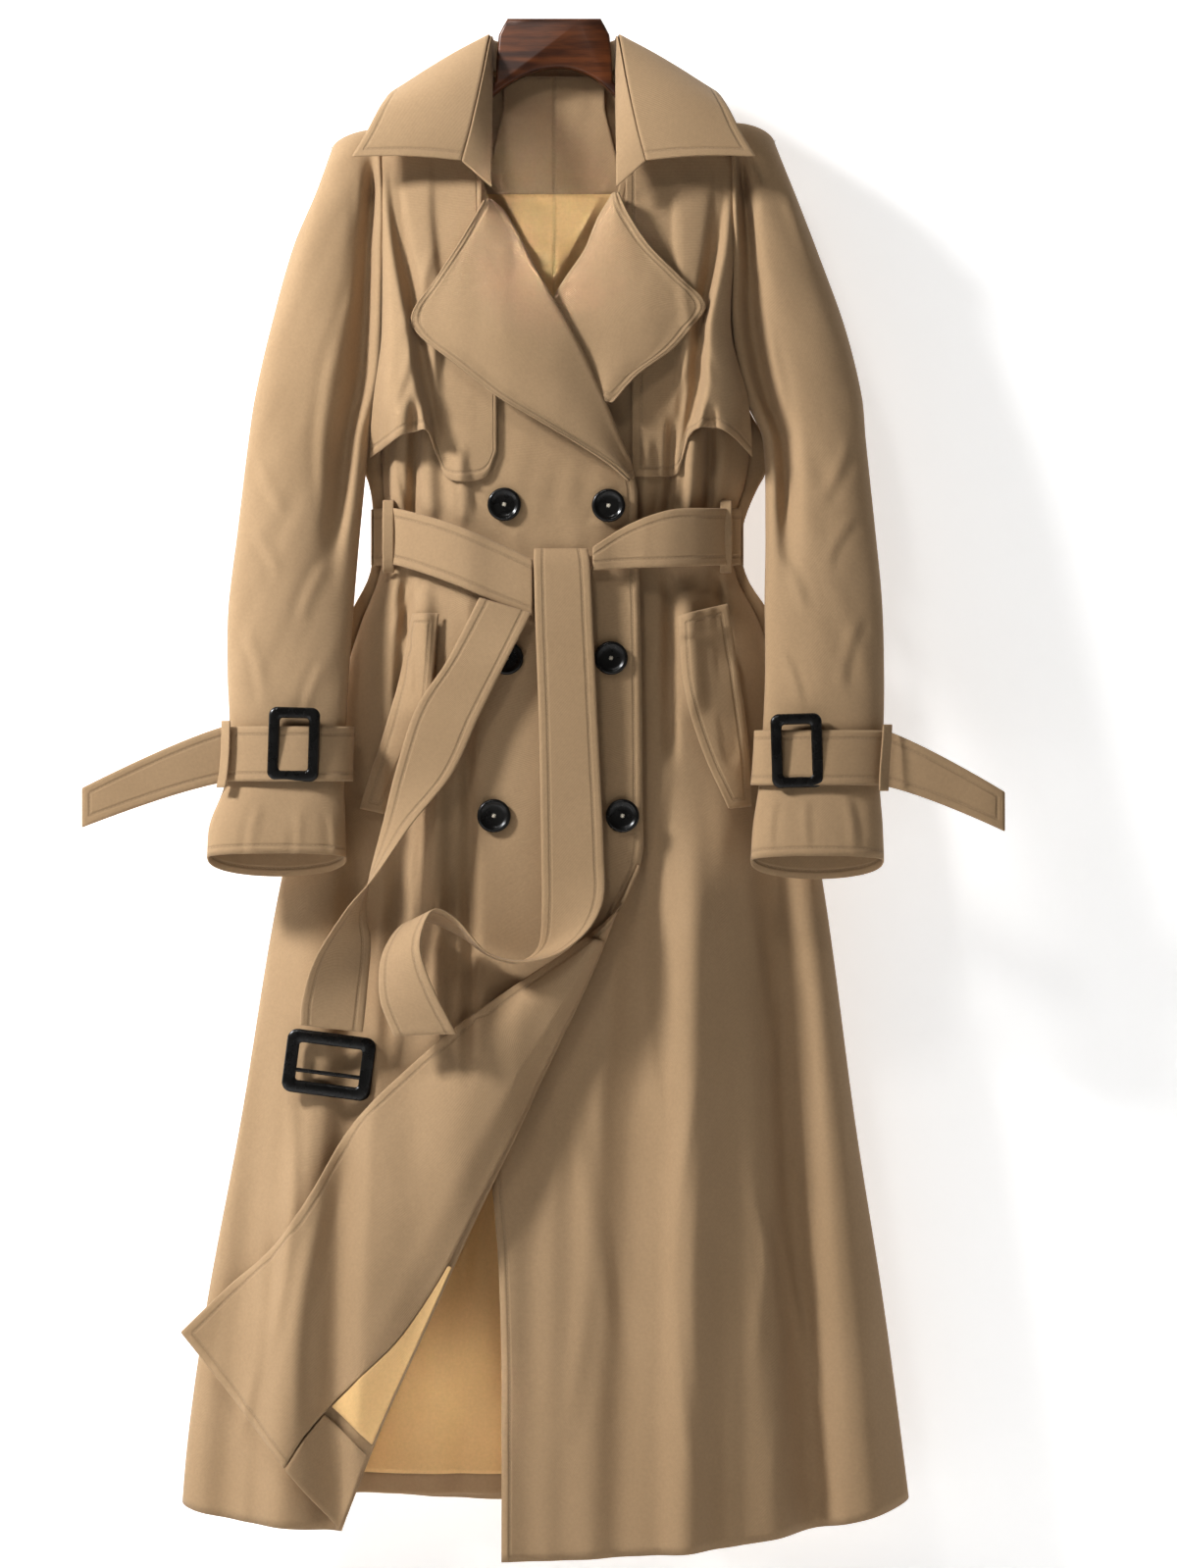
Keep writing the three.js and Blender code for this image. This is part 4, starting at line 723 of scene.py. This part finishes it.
def insides():
    def neck(z):
        return 40 + np.maximum(0, -70 - z) * 0.25

    back_patch("cloth_neck_facing", "neck_facing", lambda z: -neck(z), neck, -44, -137, 44, 28, cloth)
    back_patch("lining_back_upper", "lining_upper", lambda z: -62, lambda z: 62, -137.3, -262, 50, 40,
               lining)
    back_patch("lining_back_skirt", "lining_skirt", lambda z: -226, lambda z: 30, -860, -1161, 90, 80,
               lining)
    back_patch("cloth_hem_band_back", "hem_band_back", lambda z: -262, lambda z: 30, -1161.3, -1177, 90, 6,
               cloth)


def turnback_pieces():
    def seam(v):
        return read(FACING_SEAM, "v", v, "t")

    def facing(u, v):
        at = mix(0.17, 1, v)
        return turnback_point(u * seam(at), at, 3)

    cloth_piece("cloth_facing_right", "facing_right", [shell(facing, 56, 110, stitched="ws")],
                inner=cloth)

    def lined(u, v):
        at = mix(0.72, 0.918, v)
        return turnback_point(mix(seam(at) + 0.012, 0.995, u), at, 3)

    cloth_piece("lining_turned_back", "lining_turnback", [shell(lined, 24, 40)], outer=lining)

    def hem(u, v):
        at = mix(0.93, 1, v)
        return turnback_point(mix(seam(at) + 0.012, 0.995, u), at, 3)

    cloth_piece("cloth_hem_band_turned_back", "hem_band_turnback", [shell(hem, 24, 16)], inner=cloth)


def lapels():
    for name, rows, layer, rise, inward, tuck in (
            ("lapel_right", LEFT_LAPEL, over_layer, 7.6, 1, 0),
            ("lapel_left", RIGHT_LAPEL, front_layer, 5.6, -1, 11)):
        def leaf(u, v, rows=rows, layer=layer, rise=rise, tuck=tuck):
            roll = np.clip(u / 0.14, 0, 1)
            past = np.maximum(0, u - 0.14) / 0.86
            rx, rz, ox, oz = (read(rows, "v", v, key) for key in ("rx", "rz", "ox", "oz"))
            rx = rx - tuck * ease((v - 0.25) / 0.3)
            x, z = mix(rx, ox, past), mix(rz, oz, past)
            span = np.hypot(ox - rx, oz - rz) + 1
            spring = 3 * np.sin(np.pi * np.minimum(1, past * 1.2)) + rise + 10 * past
            spring = spring + 0.8 * uneven(x, z, 34, 50, 41) * ease(past * 3)
            under = layer(x, z, 1)
            radius = (LAYER + spring) / 2
            out = radius * np.sin(np.pi * roll) * ease(span / 24)
            d = under + radius - radius * np.cos(np.pi * roll)
            return x + out * (rx - ox) / span, d, z + out * (rz - oz) / span

        cloth_piece("cloth_" + name, name, [shell(leaf, 44, 84, inward=inward, stitched="es")],
                    outer=cloth_double, inner=cloth_double)


def storm_flaps():
    for name, rows, side, inner, layer, layers in (
            ("storm_flap_right", LEFT_STORM, "left", -45, over_layer, 3),
            ("storm_flap_left", RIGHT_STORM, "right", 62, front_layer, 2)):
        def flap(u, v, rows=rows, side=side, inner=inner, layer=layer, layers=layers):
            armhole = -138 if side == "left" else 144
            way = np.sign(armhole)
            top = mix(shoulder(armhole), shoulder(inner), u) - 15
            z = mix(top, read(rows, "u", u, "z"), v ** 1.5)
            seam = read(BODY, "z", np.maximum(z, -300), side) - way * 1.2
            flare = way * 8 * ease((v - 0.7) / 0.3)
            near = mix(way * 57, inner, ease((-150 - z) / 80))
            x = mix(seam + flare, near, u)
            inside = np.maximum(x, seam) if side == "left" else np.minimum(x, seam)
            out = read(rows, "u", u, "out") * ease((v - 0.1) / 0.9)
            ends = 0.10 + 0.43 * v ** 2.6
            cone = 12 * ease(2 * u / ends + 0.2) * ease((ends - u) / 0.08) * ease((v - 0.05) / 0.95)
            valley = -9 * np.exp(-((u - ends - 0.03) / 0.06) ** 2) * ease((v - 0.1) / 0.5)
            return x, layer(inside, z, layers) + out + cone + np.maximum(valley, -out), z

        cloth_piece("cloth_" + name, name,
                    [shell(flap, 60, 90, inward=-1 if side == "left" else 1, stitched="es")],
                    inner=cloth)


def sleeve_point(rows, u, v, side, proud):
    edge = rows["inner"][0]
    way = np.sign(edge)
    ridge = rows["z"][0] + 12 * np.sin(np.pi * u) * 0.5 - 14 * u
    rim = (4 if side > 0 else -15) * np.sin(np.pi * u) ** 0.8
    z = mix(ridge, rows["z"][-1] + rim, v ** 1.3)
    outer = read(rows, "z", z, "outer") + way * proud
    inner = read(rows, "z", z, "inner") - way * (proud - 0.3) - way * 5 * ease((z + 340) / 60)
    mid = read(rows, "z", z, "mid")
    half = read(rows, "z", z, "half") + proud
    gap = read(rows, "z", z, "open")
    turn = np.pi * u
    x = (inner + outer) / 2 + (inner - outer) / 2 * np.cos(turn)
    fall = np.clip((ridge - z) / 26, 0, 1)
    round_off = np.sqrt(1 - (1 - fall) ** 2)
    valley = 17 * np.exp(-((u - 0.29) / 0.07) ** 2) * ease((rows["z"][1] - z) / 40) * ease((z + 470) / 120)
    belly = (half * np.sin(turn) ** 0.75 + gap * (1 - ease(u * 2.4)) - valley) * round_off
    flip = np.abs(x)
    strap = 1 - 0.85 * np.exp(-((z + 586) / 30) ** 4)
    soft = (1.3 * uneven(flip, z, 30, 90, 21 + side + way) + 0.6 * uneven(flip + 0.4 * z, z, 13, 40, 25 + way)
            + 0.7 * creases_at(SLEEVE_CREASES, flip + (2 if way > 0 else 0), z + (0 if way > 0 else 9)))
    belly = belly + soft * strap * np.minimum(1, np.sin(turn) * 2.2) * ease((ridge - z) / 40)
    return x, mid + side * (0.6 + belly), z


def sleeves():
    for name, rows in (("right", LEFT_SLEEVE), ("left", RIGHT_SLEEVE)):
        turn = -1 if name == "left" else 1
        cloth_piece("cloth_sleeve_upper_" + name, "sleeve_upper_" + name, [shell(
            lambda u, v: sleeve_point(rows, u, v, 1, 0), 56, 170, inward=turn, level=[0, 1], seam_top=True,
            stitched="s")], inner=cloth)
        cloth_piece("cloth_sleeve_under_" + name, "sleeve_under_" + name, [shell(
            lambda u, v: sleeve_point(rows, u, v, -1, 0), 44, 130, inward=-turn, level=[0, 1], seam_top=True,
            stitched="s")], inner=cloth)


def cuff_point(rows, turn, z, proud):
    outer = read(rows, "z", z, "outer")
    inner = read(rows, "z", z, "inner")
    half = read(rows, "z", z, "half") + proud
    reach = np.abs(inner - outer) / 2 + proud
    lift = np.sign(np.sin(turn)) * np.abs(np.sin(turn)) ** 0.75
    return (inner + outer) / 2 + reach * np.cos(turn), read(rows, "z", z, "mid") + half * lift, z


def cuff_straps():
    for name, rows, top, tip, sign in (("right", LEFT_SLEEVE, -563, -369, -1), ("left", RIGHT_SLEEVE, -566, 353, 1)):
        band_part = shell(lambda u, v: cuff_point(rows, 2 * np.pi * u, top - 43 * v, 5), 120, 16, wrap=True,
                          stitched="ns")
        root = cuff_point(rows, np.pi / 2 + sign * -1.15, top - 21.5, 5)

        def end(u, v):
            x = mix(root[0], tip, u)
            fall = -42 * u ** 1.2 + (0.5 - v) * mix(43, 36, u) - 6 * u * (0.5 - v)
            d = root[1] + 0.4 + 2 * np.sin(np.pi * u) + 0.8 * np.sin(u * 9) * u
            return x, d, root[2] + fall

        cloth_piece("cloth_cuff_strap_" + name, "cuff_strap_" + name,
                    [band_part, shell(end, 44, 14, stitched="nse")], inner=cloth)

        def loop(u, v):
            turn = np.pi / 2 - sign * (0.95 + (v - 0.5) * 0.19)
            return cuff_point(rows, turn, top + 4 - 51 * u, 13.1)

        cloth_piece("cloth_cuff_strap_loop_" + name, "cuff_strap_loop_" + name,
                    [shell(loop, 26, 10)], inner=cloth)


def collar_row(s):
    side = np.where(s < 0.5, -1, 1)
    place = 1 - np.abs(s - 0.5) * 2
    values = {key: read(COLLAR, "s", place, key) for key in COLLAR if key != "s"}
    for key in ("fx", "ox", "nx"):
        values[key] = values[key] * side
    return values


def collar():
    def fall(u, v):
        r = collar_row(u)
        arch = 5 * np.sin(np.pi * v)
        x, d, z = mix(r["fx"], r["ox"], v), mix(r["fd"], r["od"], v), mix(r["fz"], r["oz"], v)
        wave = 0.7 * uneven(u * 520, v * 60, 60, 40, 51) * np.sin(np.pi * v * 0.9)
        out = np.where(d > 0, 1, -1)
        return x, d + out * arch * 0.5 + wave, z + arch * 0.4 + wave * 0.5

    cloth_piece("cloth_collar_fall", "collar_fall", [shell(fall, 240, 34, stitched="wes")],
                outer=cloth_double, inner=cloth)

    def stand(u, v):
        r = collar_row(u)
        at = mix(0.0, 0.97, v)
        x, d, z = mix(r["fx"], r["nx"], at), mix(r["fd"], r["nd"], at), mix(r["fz"], r["nz"], at)
        tuck = 0.9 * (1 - v)
        side = np.sign(x) * np.minimum(1, np.abs(x) / 30)
        behind = 1 - np.minimum(1, np.abs(x) / 45)
        return x - side * tuck, d + behind * tuck, z - tuck * 0.6

    cloth_piece("cloth_collar_stand", "collar_stand", [shell(stand, 200, 16, inward=1)], inner=cloth)


def ribbon(rows, steps, across, amount, seed, rise=0):
    def strip(u, v):
        x, d, z = (mix(read(rows, "v", v, "a" + key), read(rows, "v", v, "b" + key), u) for key in "xdz")
        d = d + amount * uneven(v * 400, u * 40, 46, 60, seed) + rise * ease((v - 0.5) / 0.3)
        clear = over_layer(x, z, 2) + 3
        return x, np.where(v > 0.3, np.maximum(d, clear), d), z

    return shell(strip, across, steps, stitched="we")


def belt():
    def part(rows, layer):
        def strip(u, v):
            x = read(rows, "v", u, "x")
            z = read(rows, "v", u, "z") + (0.5 - v) * 2 * read(rows, "v", u, "half")
            seam = np.clip(x, -134.5, 139.5)
            middle = layer(seam, read(rows, "v", u, "z"), 2) + read(rows, "v", u, "out")
            return x, middle + 0.6 * np.sin(np.pi * v), z
        return strip

    cloth_piece("cloth_belt_front_right", "belt_front_right",
                [shell(part(BELT_LEFT, over_layer), 90, 20, stitched="ns")], inner=cloth)
    cloth_piece("cloth_belt_front_left", "belt_front_left",
                [shell(part(BELT_RIGHT, over_layer), 90, 20, stitched="ns")], inner=cloth)

    def behind(u, v):
        turn = np.pi * u
        x = 2.5 - 148 * np.cos(turn)
        z = -412 + (0.5 - v) * 44
        return x, 1 - 37 * np.sin(turn) ** 0.7 - 0.5 * np.sin(np.pi * v), z

    cloth_piece("cloth_belt_back", "belt_back", [shell(behind, 150, 16, inward=1, stitched="ns")],
                inner=cloth)
    cloth_piece("cloth_belt_tail_long", "belt_tail_long", [ribbon(LONG_TAIL, 190, 20, 0.8, 61)],
                inner=cloth)
    cloth_piece("cloth_belt_tail_short", "belt_tail_short", [ribbon(SHORT_TAIL, 170, 20, 0.8, 63, 3)],
                inner=cloth)
    for name, x0 in (("belt_loop_right", -131), ("belt_loop_left", 136)):
        def loop(u, v, x0=x0):
            out = 7 + 11 * np.sin(np.pi * v) ** 0.4
            return x0 + (u - 0.5) * 8, front_layer(np.float64(x0), np.float64(-412), 2) + out, -383 - 58 * v

        cloth_piece("cloth_" + name, name, [shell(loop, 8, 60)], inner=cloth)


def pocket_welts():
    for name, rows, rise in (("pocket_welt_right", LEFT_WELT, 3), ("pocket_welt_left", RIGHT_WELT, 1)):
        def welt(u, v, rows=rows, rise=rise):
            x = mix(read(rows, "v", v, "ax"), read(rows, "v", v, "bx"), u)
            z = mix(read(rows, "v", v, "az"), read(rows, "v", v, "bz"), u)
            sides = [(read(rows, "v", v, key + "x"), read(rows, "v", v, key + "z")) for key in "ab"]
            stiff = mix(over_layer(*sides[0], 2), over_layer(*sides[1], 2), u)
            puff = 2.6 * np.sin(np.pi * np.clip(u, 0.12, 0.88)) ** 0.5
            strip = 0 if rows is LEFT_WELT else 2.4 * ease((0.125 - v) / 0.02)
            return x, np.maximum(over_layer(x, z, 2), stiff) + rise + puff + strip, z

        cloth_piece("cloth_" + name, name, [shell(welt, 16, 60, stitched="wens")], inner=cloth)


# Hard trim and the hanger
def solid(name, node_name, points, faces, material, smooth=40):
    mesh = bpy.data.meshes.new(name)
    mesh.from_pydata([(x * MM, -d * MM, z * MM) for x, d, z in points], [], faces)
    mesh.materials.append(material)
    mesh.validate()
    thing = bpy.data.objects.new(name, mesh)
    bpy.context.scene.collection.objects.link(thing)
    bpy.context.view_layer.objects.active = thing
    import bmesh
    work = bmesh.new()
    work.from_mesh(mesh)
    bmesh.ops.recalc_face_normals(work, faces=work.faces)
    work.to_mesh(mesh)
    work.free()
    mesh.shade_smooth()
    mesh.set_sharp_from_angle(angle=math.radians(smooth))
    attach(thing, "root")
    if node_name:
        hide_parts(node_name)
    return thing


def rings(loops, closed=True, capped=False):
    """Points and faces through several rings of the same count."""
    points = [p for loop in loops for p in loop]
    count = len(loops[0])
    faces = []
    for r in range(len(loops) if closed else len(loops) - 1):
        a, b = r * count, ((r + 1) % len(loops)) * count
        for i in range(count):
            j = (i + 1) % count
            faces.append((a + i, a + j, b + j, b + i))
    if capped:
        faces.append(tuple(range(count)))
        faces.append(tuple(range((len(loops) - 1) * count, len(loops) * count)))
    return points, faces


def rounded(width, height, radius, steps=7):
    points = []
    for cx, cz, begin in ((1, 1, 0), (-1, 1, 90), (-1, -1, 180), (1, -1, 270)):
        for n in range(steps + 1):
            a = math.radians(begin + 90 * n / steps)
            points.append((cx * (width / 2 - radius) + radius * math.cos(a),
                           cz * (height / 2 - radius) + radius * math.sin(a)))
    return points


def buckle(name, node_name, width, height, bar, x, depth, z, roll):
    loops = []
    outer, inner = rounded(width, height, bar * 0.8), rounded(width - 2 * bar, height - 2 * bar, 2.4)
    for share, rise in ((0, 0.3), (0, 3.4), (0.10, 4.6), (0.3, 5.0), (0.7, 5.0), (0.9, 4.6), (1, 3.4), (1, 0.3)):
        loops.append([(mix(p[0], q[0], share), rise, mix(p[1], q[1], share)) for p, q in zip(outer, inner)])
    points, faces = rings(loops)
    c, s = math.cos(roll), math.sin(roll)
    points = [(x + px * c + pz * s, depth + d, z - px * s + pz * c) for px, d, pz in points]
    solid(name, node_name, points, faces, trim)


def buckles():
    left = float(cuff_point(LEFT_SLEEVE, np.pi / 2, np.float64(-577), 5)[1])
    right = float(cuff_point(RIGHT_SLEEVE, np.pi / 2, np.float64(-582), 5)[1])
    buckle("trim_cuff_buckle_right", "cuff_buckle_right", 40, 58, 8.5, -203, left - 0.2, -577, 0.03)
    buckle("trim_cuff_buckle_left", "cuff_buckle_left", 40, 58, 8.5, 190, right - 1, -582, -0.03)
    rest = float(over_layer(np.float64(-177), np.float64(-829), 2))
    buckle("trim_belt_buckle", "belt_buckle", 70, 50, 10, -177, rest + 2.5, -829, 0.13)
    bar = [[(-204 + 54 * n, rest + 5 + 1.7 * math.cos(a), -832.5 - 7 * n + 1.7 * math.sin(a))
            for a in (math.tau * k / 10 for k in range(10))] for n in (0, 1)]
    points, faces = rings(bar, closed=False, capped=True)
    solid("trim_belt_buckle_bar", None, points, faces, trim)


def buttons():
    profile = ((0.3, 0), (10.5, 0), (12.6, 0.9), (13.2, 2.2), (12.9, 3.5), (12.1, 4.2), (11.2, 4.4), (10.4, 4.1),
               (9.7, 3.4), (8.8, 2.8), (7.4, 2.5), (4.0, 2.4), (0.3, 2.4))
    for n, (x, z) in enumerate(((-39, -388), (43, -389), (-37, -509), (45, -509), (-47, -633), (54, -633)), 1):
        base = float(over_layer(np.float64(x), np.float64(z), 1)) + 0.6
        loops = [[(x + r * math.cos(a), base + rise, z + r * math.sin(a))
                  for a in (math.tau * k / 48 for k in range(48))] for r, rise in profile]
        points, faces = rings(loops, closed=False, capped=True)
        solid("trim_button_%d" % n, "button_%d" % n, points, faces, trim)
        stitches = []
        faces = []
        for turn in (0.5, 2.07):
            c, s = math.cos(turn), math.sin(turn)
            for side in (-0.45, 0.45):
                start = len(stitches)
                for along in (-1.7, 0, 1.7):
                    for k in range(6):
                        a = math.tau * k / 6
                        lift = 2.5 + 0.5 * (1 - abs(along) / 1.7) + 0.28 * math.sin(a)
                        across = side + 0.28 * math.cos(a)
                        stitches.append((x + along * c - across * s, base + lift, z + along * s + across * c))
                for r in (0, 6):
                    for k in range(6):
                        faces.append((start + r + k, start + r + (k + 1) % 6, start + r + 6 + (k + 1) % 6,
                                      start + r + 6 + k))
        solid("thread_button_%d" % n, None, stitches, faces, thread)


def hanger():
    def curve(p, q, r, steps=16):
        return [((1 - t) ** 2 * p[0] + 2 * t * (1 - t) * q[0] + t * t * r[0],
                 (1 - t) ** 2 * p[1] + 2 * t * (1 - t) * q[1] + t * t * r[1])
                for t in (n / steps for n in range(1, steps + 1))]

    line = [(-37, 0), (-20, 0), (0, 0), (20, 0), (37, 0), (41, -7), (44, -13), (45.5, -30), (46.5, -50)]
    line += [(mix(46.5, 138, t), mix(-50, -106, t)) for t in (0.2, 0.4, 0.6, 0.8, 1)]
    line += curve((138, -106), (146, -114), (140, -124), 8)
    line += curve((140, -124), (96, -104), (47, -60)) + curve((47, -60), (6, -18), (-47, -60), 30)
    line += curve((-47, -60), (-96, -104), (-138, -124)) + curve((-138, -124), (-144, -114), (-136, -106), 8)
    line += [(mix(-136, -46.5, t), mix(-106, -50, t)) for t in (0.2, 0.4, 0.6, 0.8, 1)]
    line += [(-45.5, -30), (-44, -13), (-41, -7)]
    count = len(line)
    shrunk = []
    for i, (x, z) in enumerate(line):
        (px, pz), (qx, qz) = line[i - 1], line[(i + 1) % count]
        tx, tz = qx - px, qz - pz
        size = math.hypot(tx, tz)
        shrunk.append((tz / size, -tx / size))
    loops = []
    for depth, inset in ((-7.5, 2.2), (-6.9, 0.9), (-5.5, 0.1), (-4, 0), (4, 0), (5.5, 0.1), (6.9, 0.9), (7.5, 2.2)):
        loops.append([(x + nx * inset, depth, z + nz * inset) for (x, z), (nx, nz) in zip(line, shrunk)])
    points, faces = rings(loops, closed=False, capped=True)
    solid("wood_hanger", "hanger", points, faces, wood, smooth=50)


# Pale studio floor and wall, not part of the coat
def stage_material(name, tone, glow, see_through_back):
    material, tree, shader = start(name)
    coords = tree.nodes.new("ShaderNodeTexCoord")
    cloud = node(tree, "ShaderNodeTexNoise", Vector=coords.outputs["Object"], Scale=1.5, Detail=2.0)
    low = tuple(value * 0.985 for value in tone[:3]) + (1,)
    tree.links.new(blend(tree, cloud.outputs[0], low, tone), shader.inputs["Base Color"])
    shader.inputs["Roughness"].default_value = 1.0
    shader.inputs["Specular IOR Level"].default_value = 0.0
    shader.inputs["Emission Color"].default_value = (1, 1, 1, 1)
    shader.inputs["Emission Strength"].default_value = glow
    if see_through_back:
        out = [n for n in tree.nodes if n.type == "OUTPUT_MATERIAL"][0]
        geometry = tree.nodes.new("ShaderNodeNewGeometry")
        clear = tree.nodes.new("ShaderNodeBsdfTransparent")
        both = tree.nodes.new("ShaderNodeMixShader")
        tree.links.new(geometry.outputs["Backfacing"], both.inputs[0])
        tree.links.new(shader.outputs[0], both.inputs[1])
        tree.links.new(clear.outputs[0], both.inputs[2])
        tree.links.new(both.outputs[0], out.inputs[0])
    return material


def plane(name, corners, material):
    mesh = bpy.data.meshes.new(name)
    mesh.from_pydata(corners, [], [(0, 1, 2, 3)])
    mesh.materials.append(material)
    thing = bpy.data.objects.new(name, mesh)
    bpy.context.scene.collection.objects.link(thing)


def area_light(name, place, aim, size, energy, colour, spread=180):
    light = bpy.data.lights.new(name, "AREA")
    light.shape = "DISK"
    light.size = size
    light.energy = energy
    light.color = colour
    light.spread = math.radians(spread)
    thing = bpy.data.objects.new(name, light)
    thing.location = place
    way = Vector(aim) - Vector(place)
    thing.rotation_euler = way.to_track_quat("-Z", "Y").to_euler()
    bpy.context.scene.collection.objects.link(thing)


def stage_and_lights():
    pale = (0.86, 0.86, 0.86, 1)
    plane("floor", [(-6, -6, -1.3), (6, -6, -1.3), (6, 6, -1.3), (-6, 6, -1.3)],
          stage_material("pale_floor", pale, 0.0, False))
    plane("wall", [(-6, 0.07, -3), (6, 0.07, -3), (6, 0.07, 3), (-6, 0.07, 3)],
          stage_material("pale_wall", pale, 0.57, True))
    world = bpy.data.worlds.new("studio")
    world.use_nodes = True
    world.node_tree.nodes["Background"].inputs["Color"].default_value = (1.0, 0.91, 0.80, 1)
    world.node_tree.nodes["Background"].inputs["Strength"].default_value = 0.06
    bpy.context.scene.world = world
    area_light("key", (-1.9, -1.1, 0.95), (0, 0, -0.5), 0.45, 80, (0.975, 0.985, 1.0))
    area_light("top", (-0.6, -1.8, 1.3), (0, 0, -0.3), 0.4, 9.5, (1.0, 0.99, 0.97))
    area_light("neck", (0.05, -1.5, -0.62), (-0.008, 0.03, -0.15), 0.1, 0.02, (1.0, 0.99, 0.97), 4.5)
    area_light("lining", (-0.05, -1.5, -1.05), (-0.09, 0.03, -1.1), 0.1, 0.011, (1.0, 0.99, 0.97), 5)
    area_light("rear", (0.8, 2.4, 0.6), (0, 0, -0.6), 1.8, 60, (1.0, 0.99, 0.97))
    camera = bpy.data.cameras.new("camera")
    camera.lens = 120
    camera.sensor_width = 36
    thing = bpy.data.objects.new("camera", camera)
    thing.location = (0.0273, -4.157, -0.608)
    thing.rotation_euler = (math.radians(90), 0, 0)
    bpy.context.scene.collection.objects.link(thing)
    bpy.context.scene.camera = thing


hanger()
backs()
insides()
front_left()
front_right()
turnback_pieces()
storm_flaps()
lapels()
collar()
sleeves()
cuff_straps()
pocket_welts()
belt()
buttons()
buckles()
stage_and_lights()
bpy.context.scene.view_settings.view_transform = "Standard"
bpy.context.scene.view_settings.gamma = 0.86
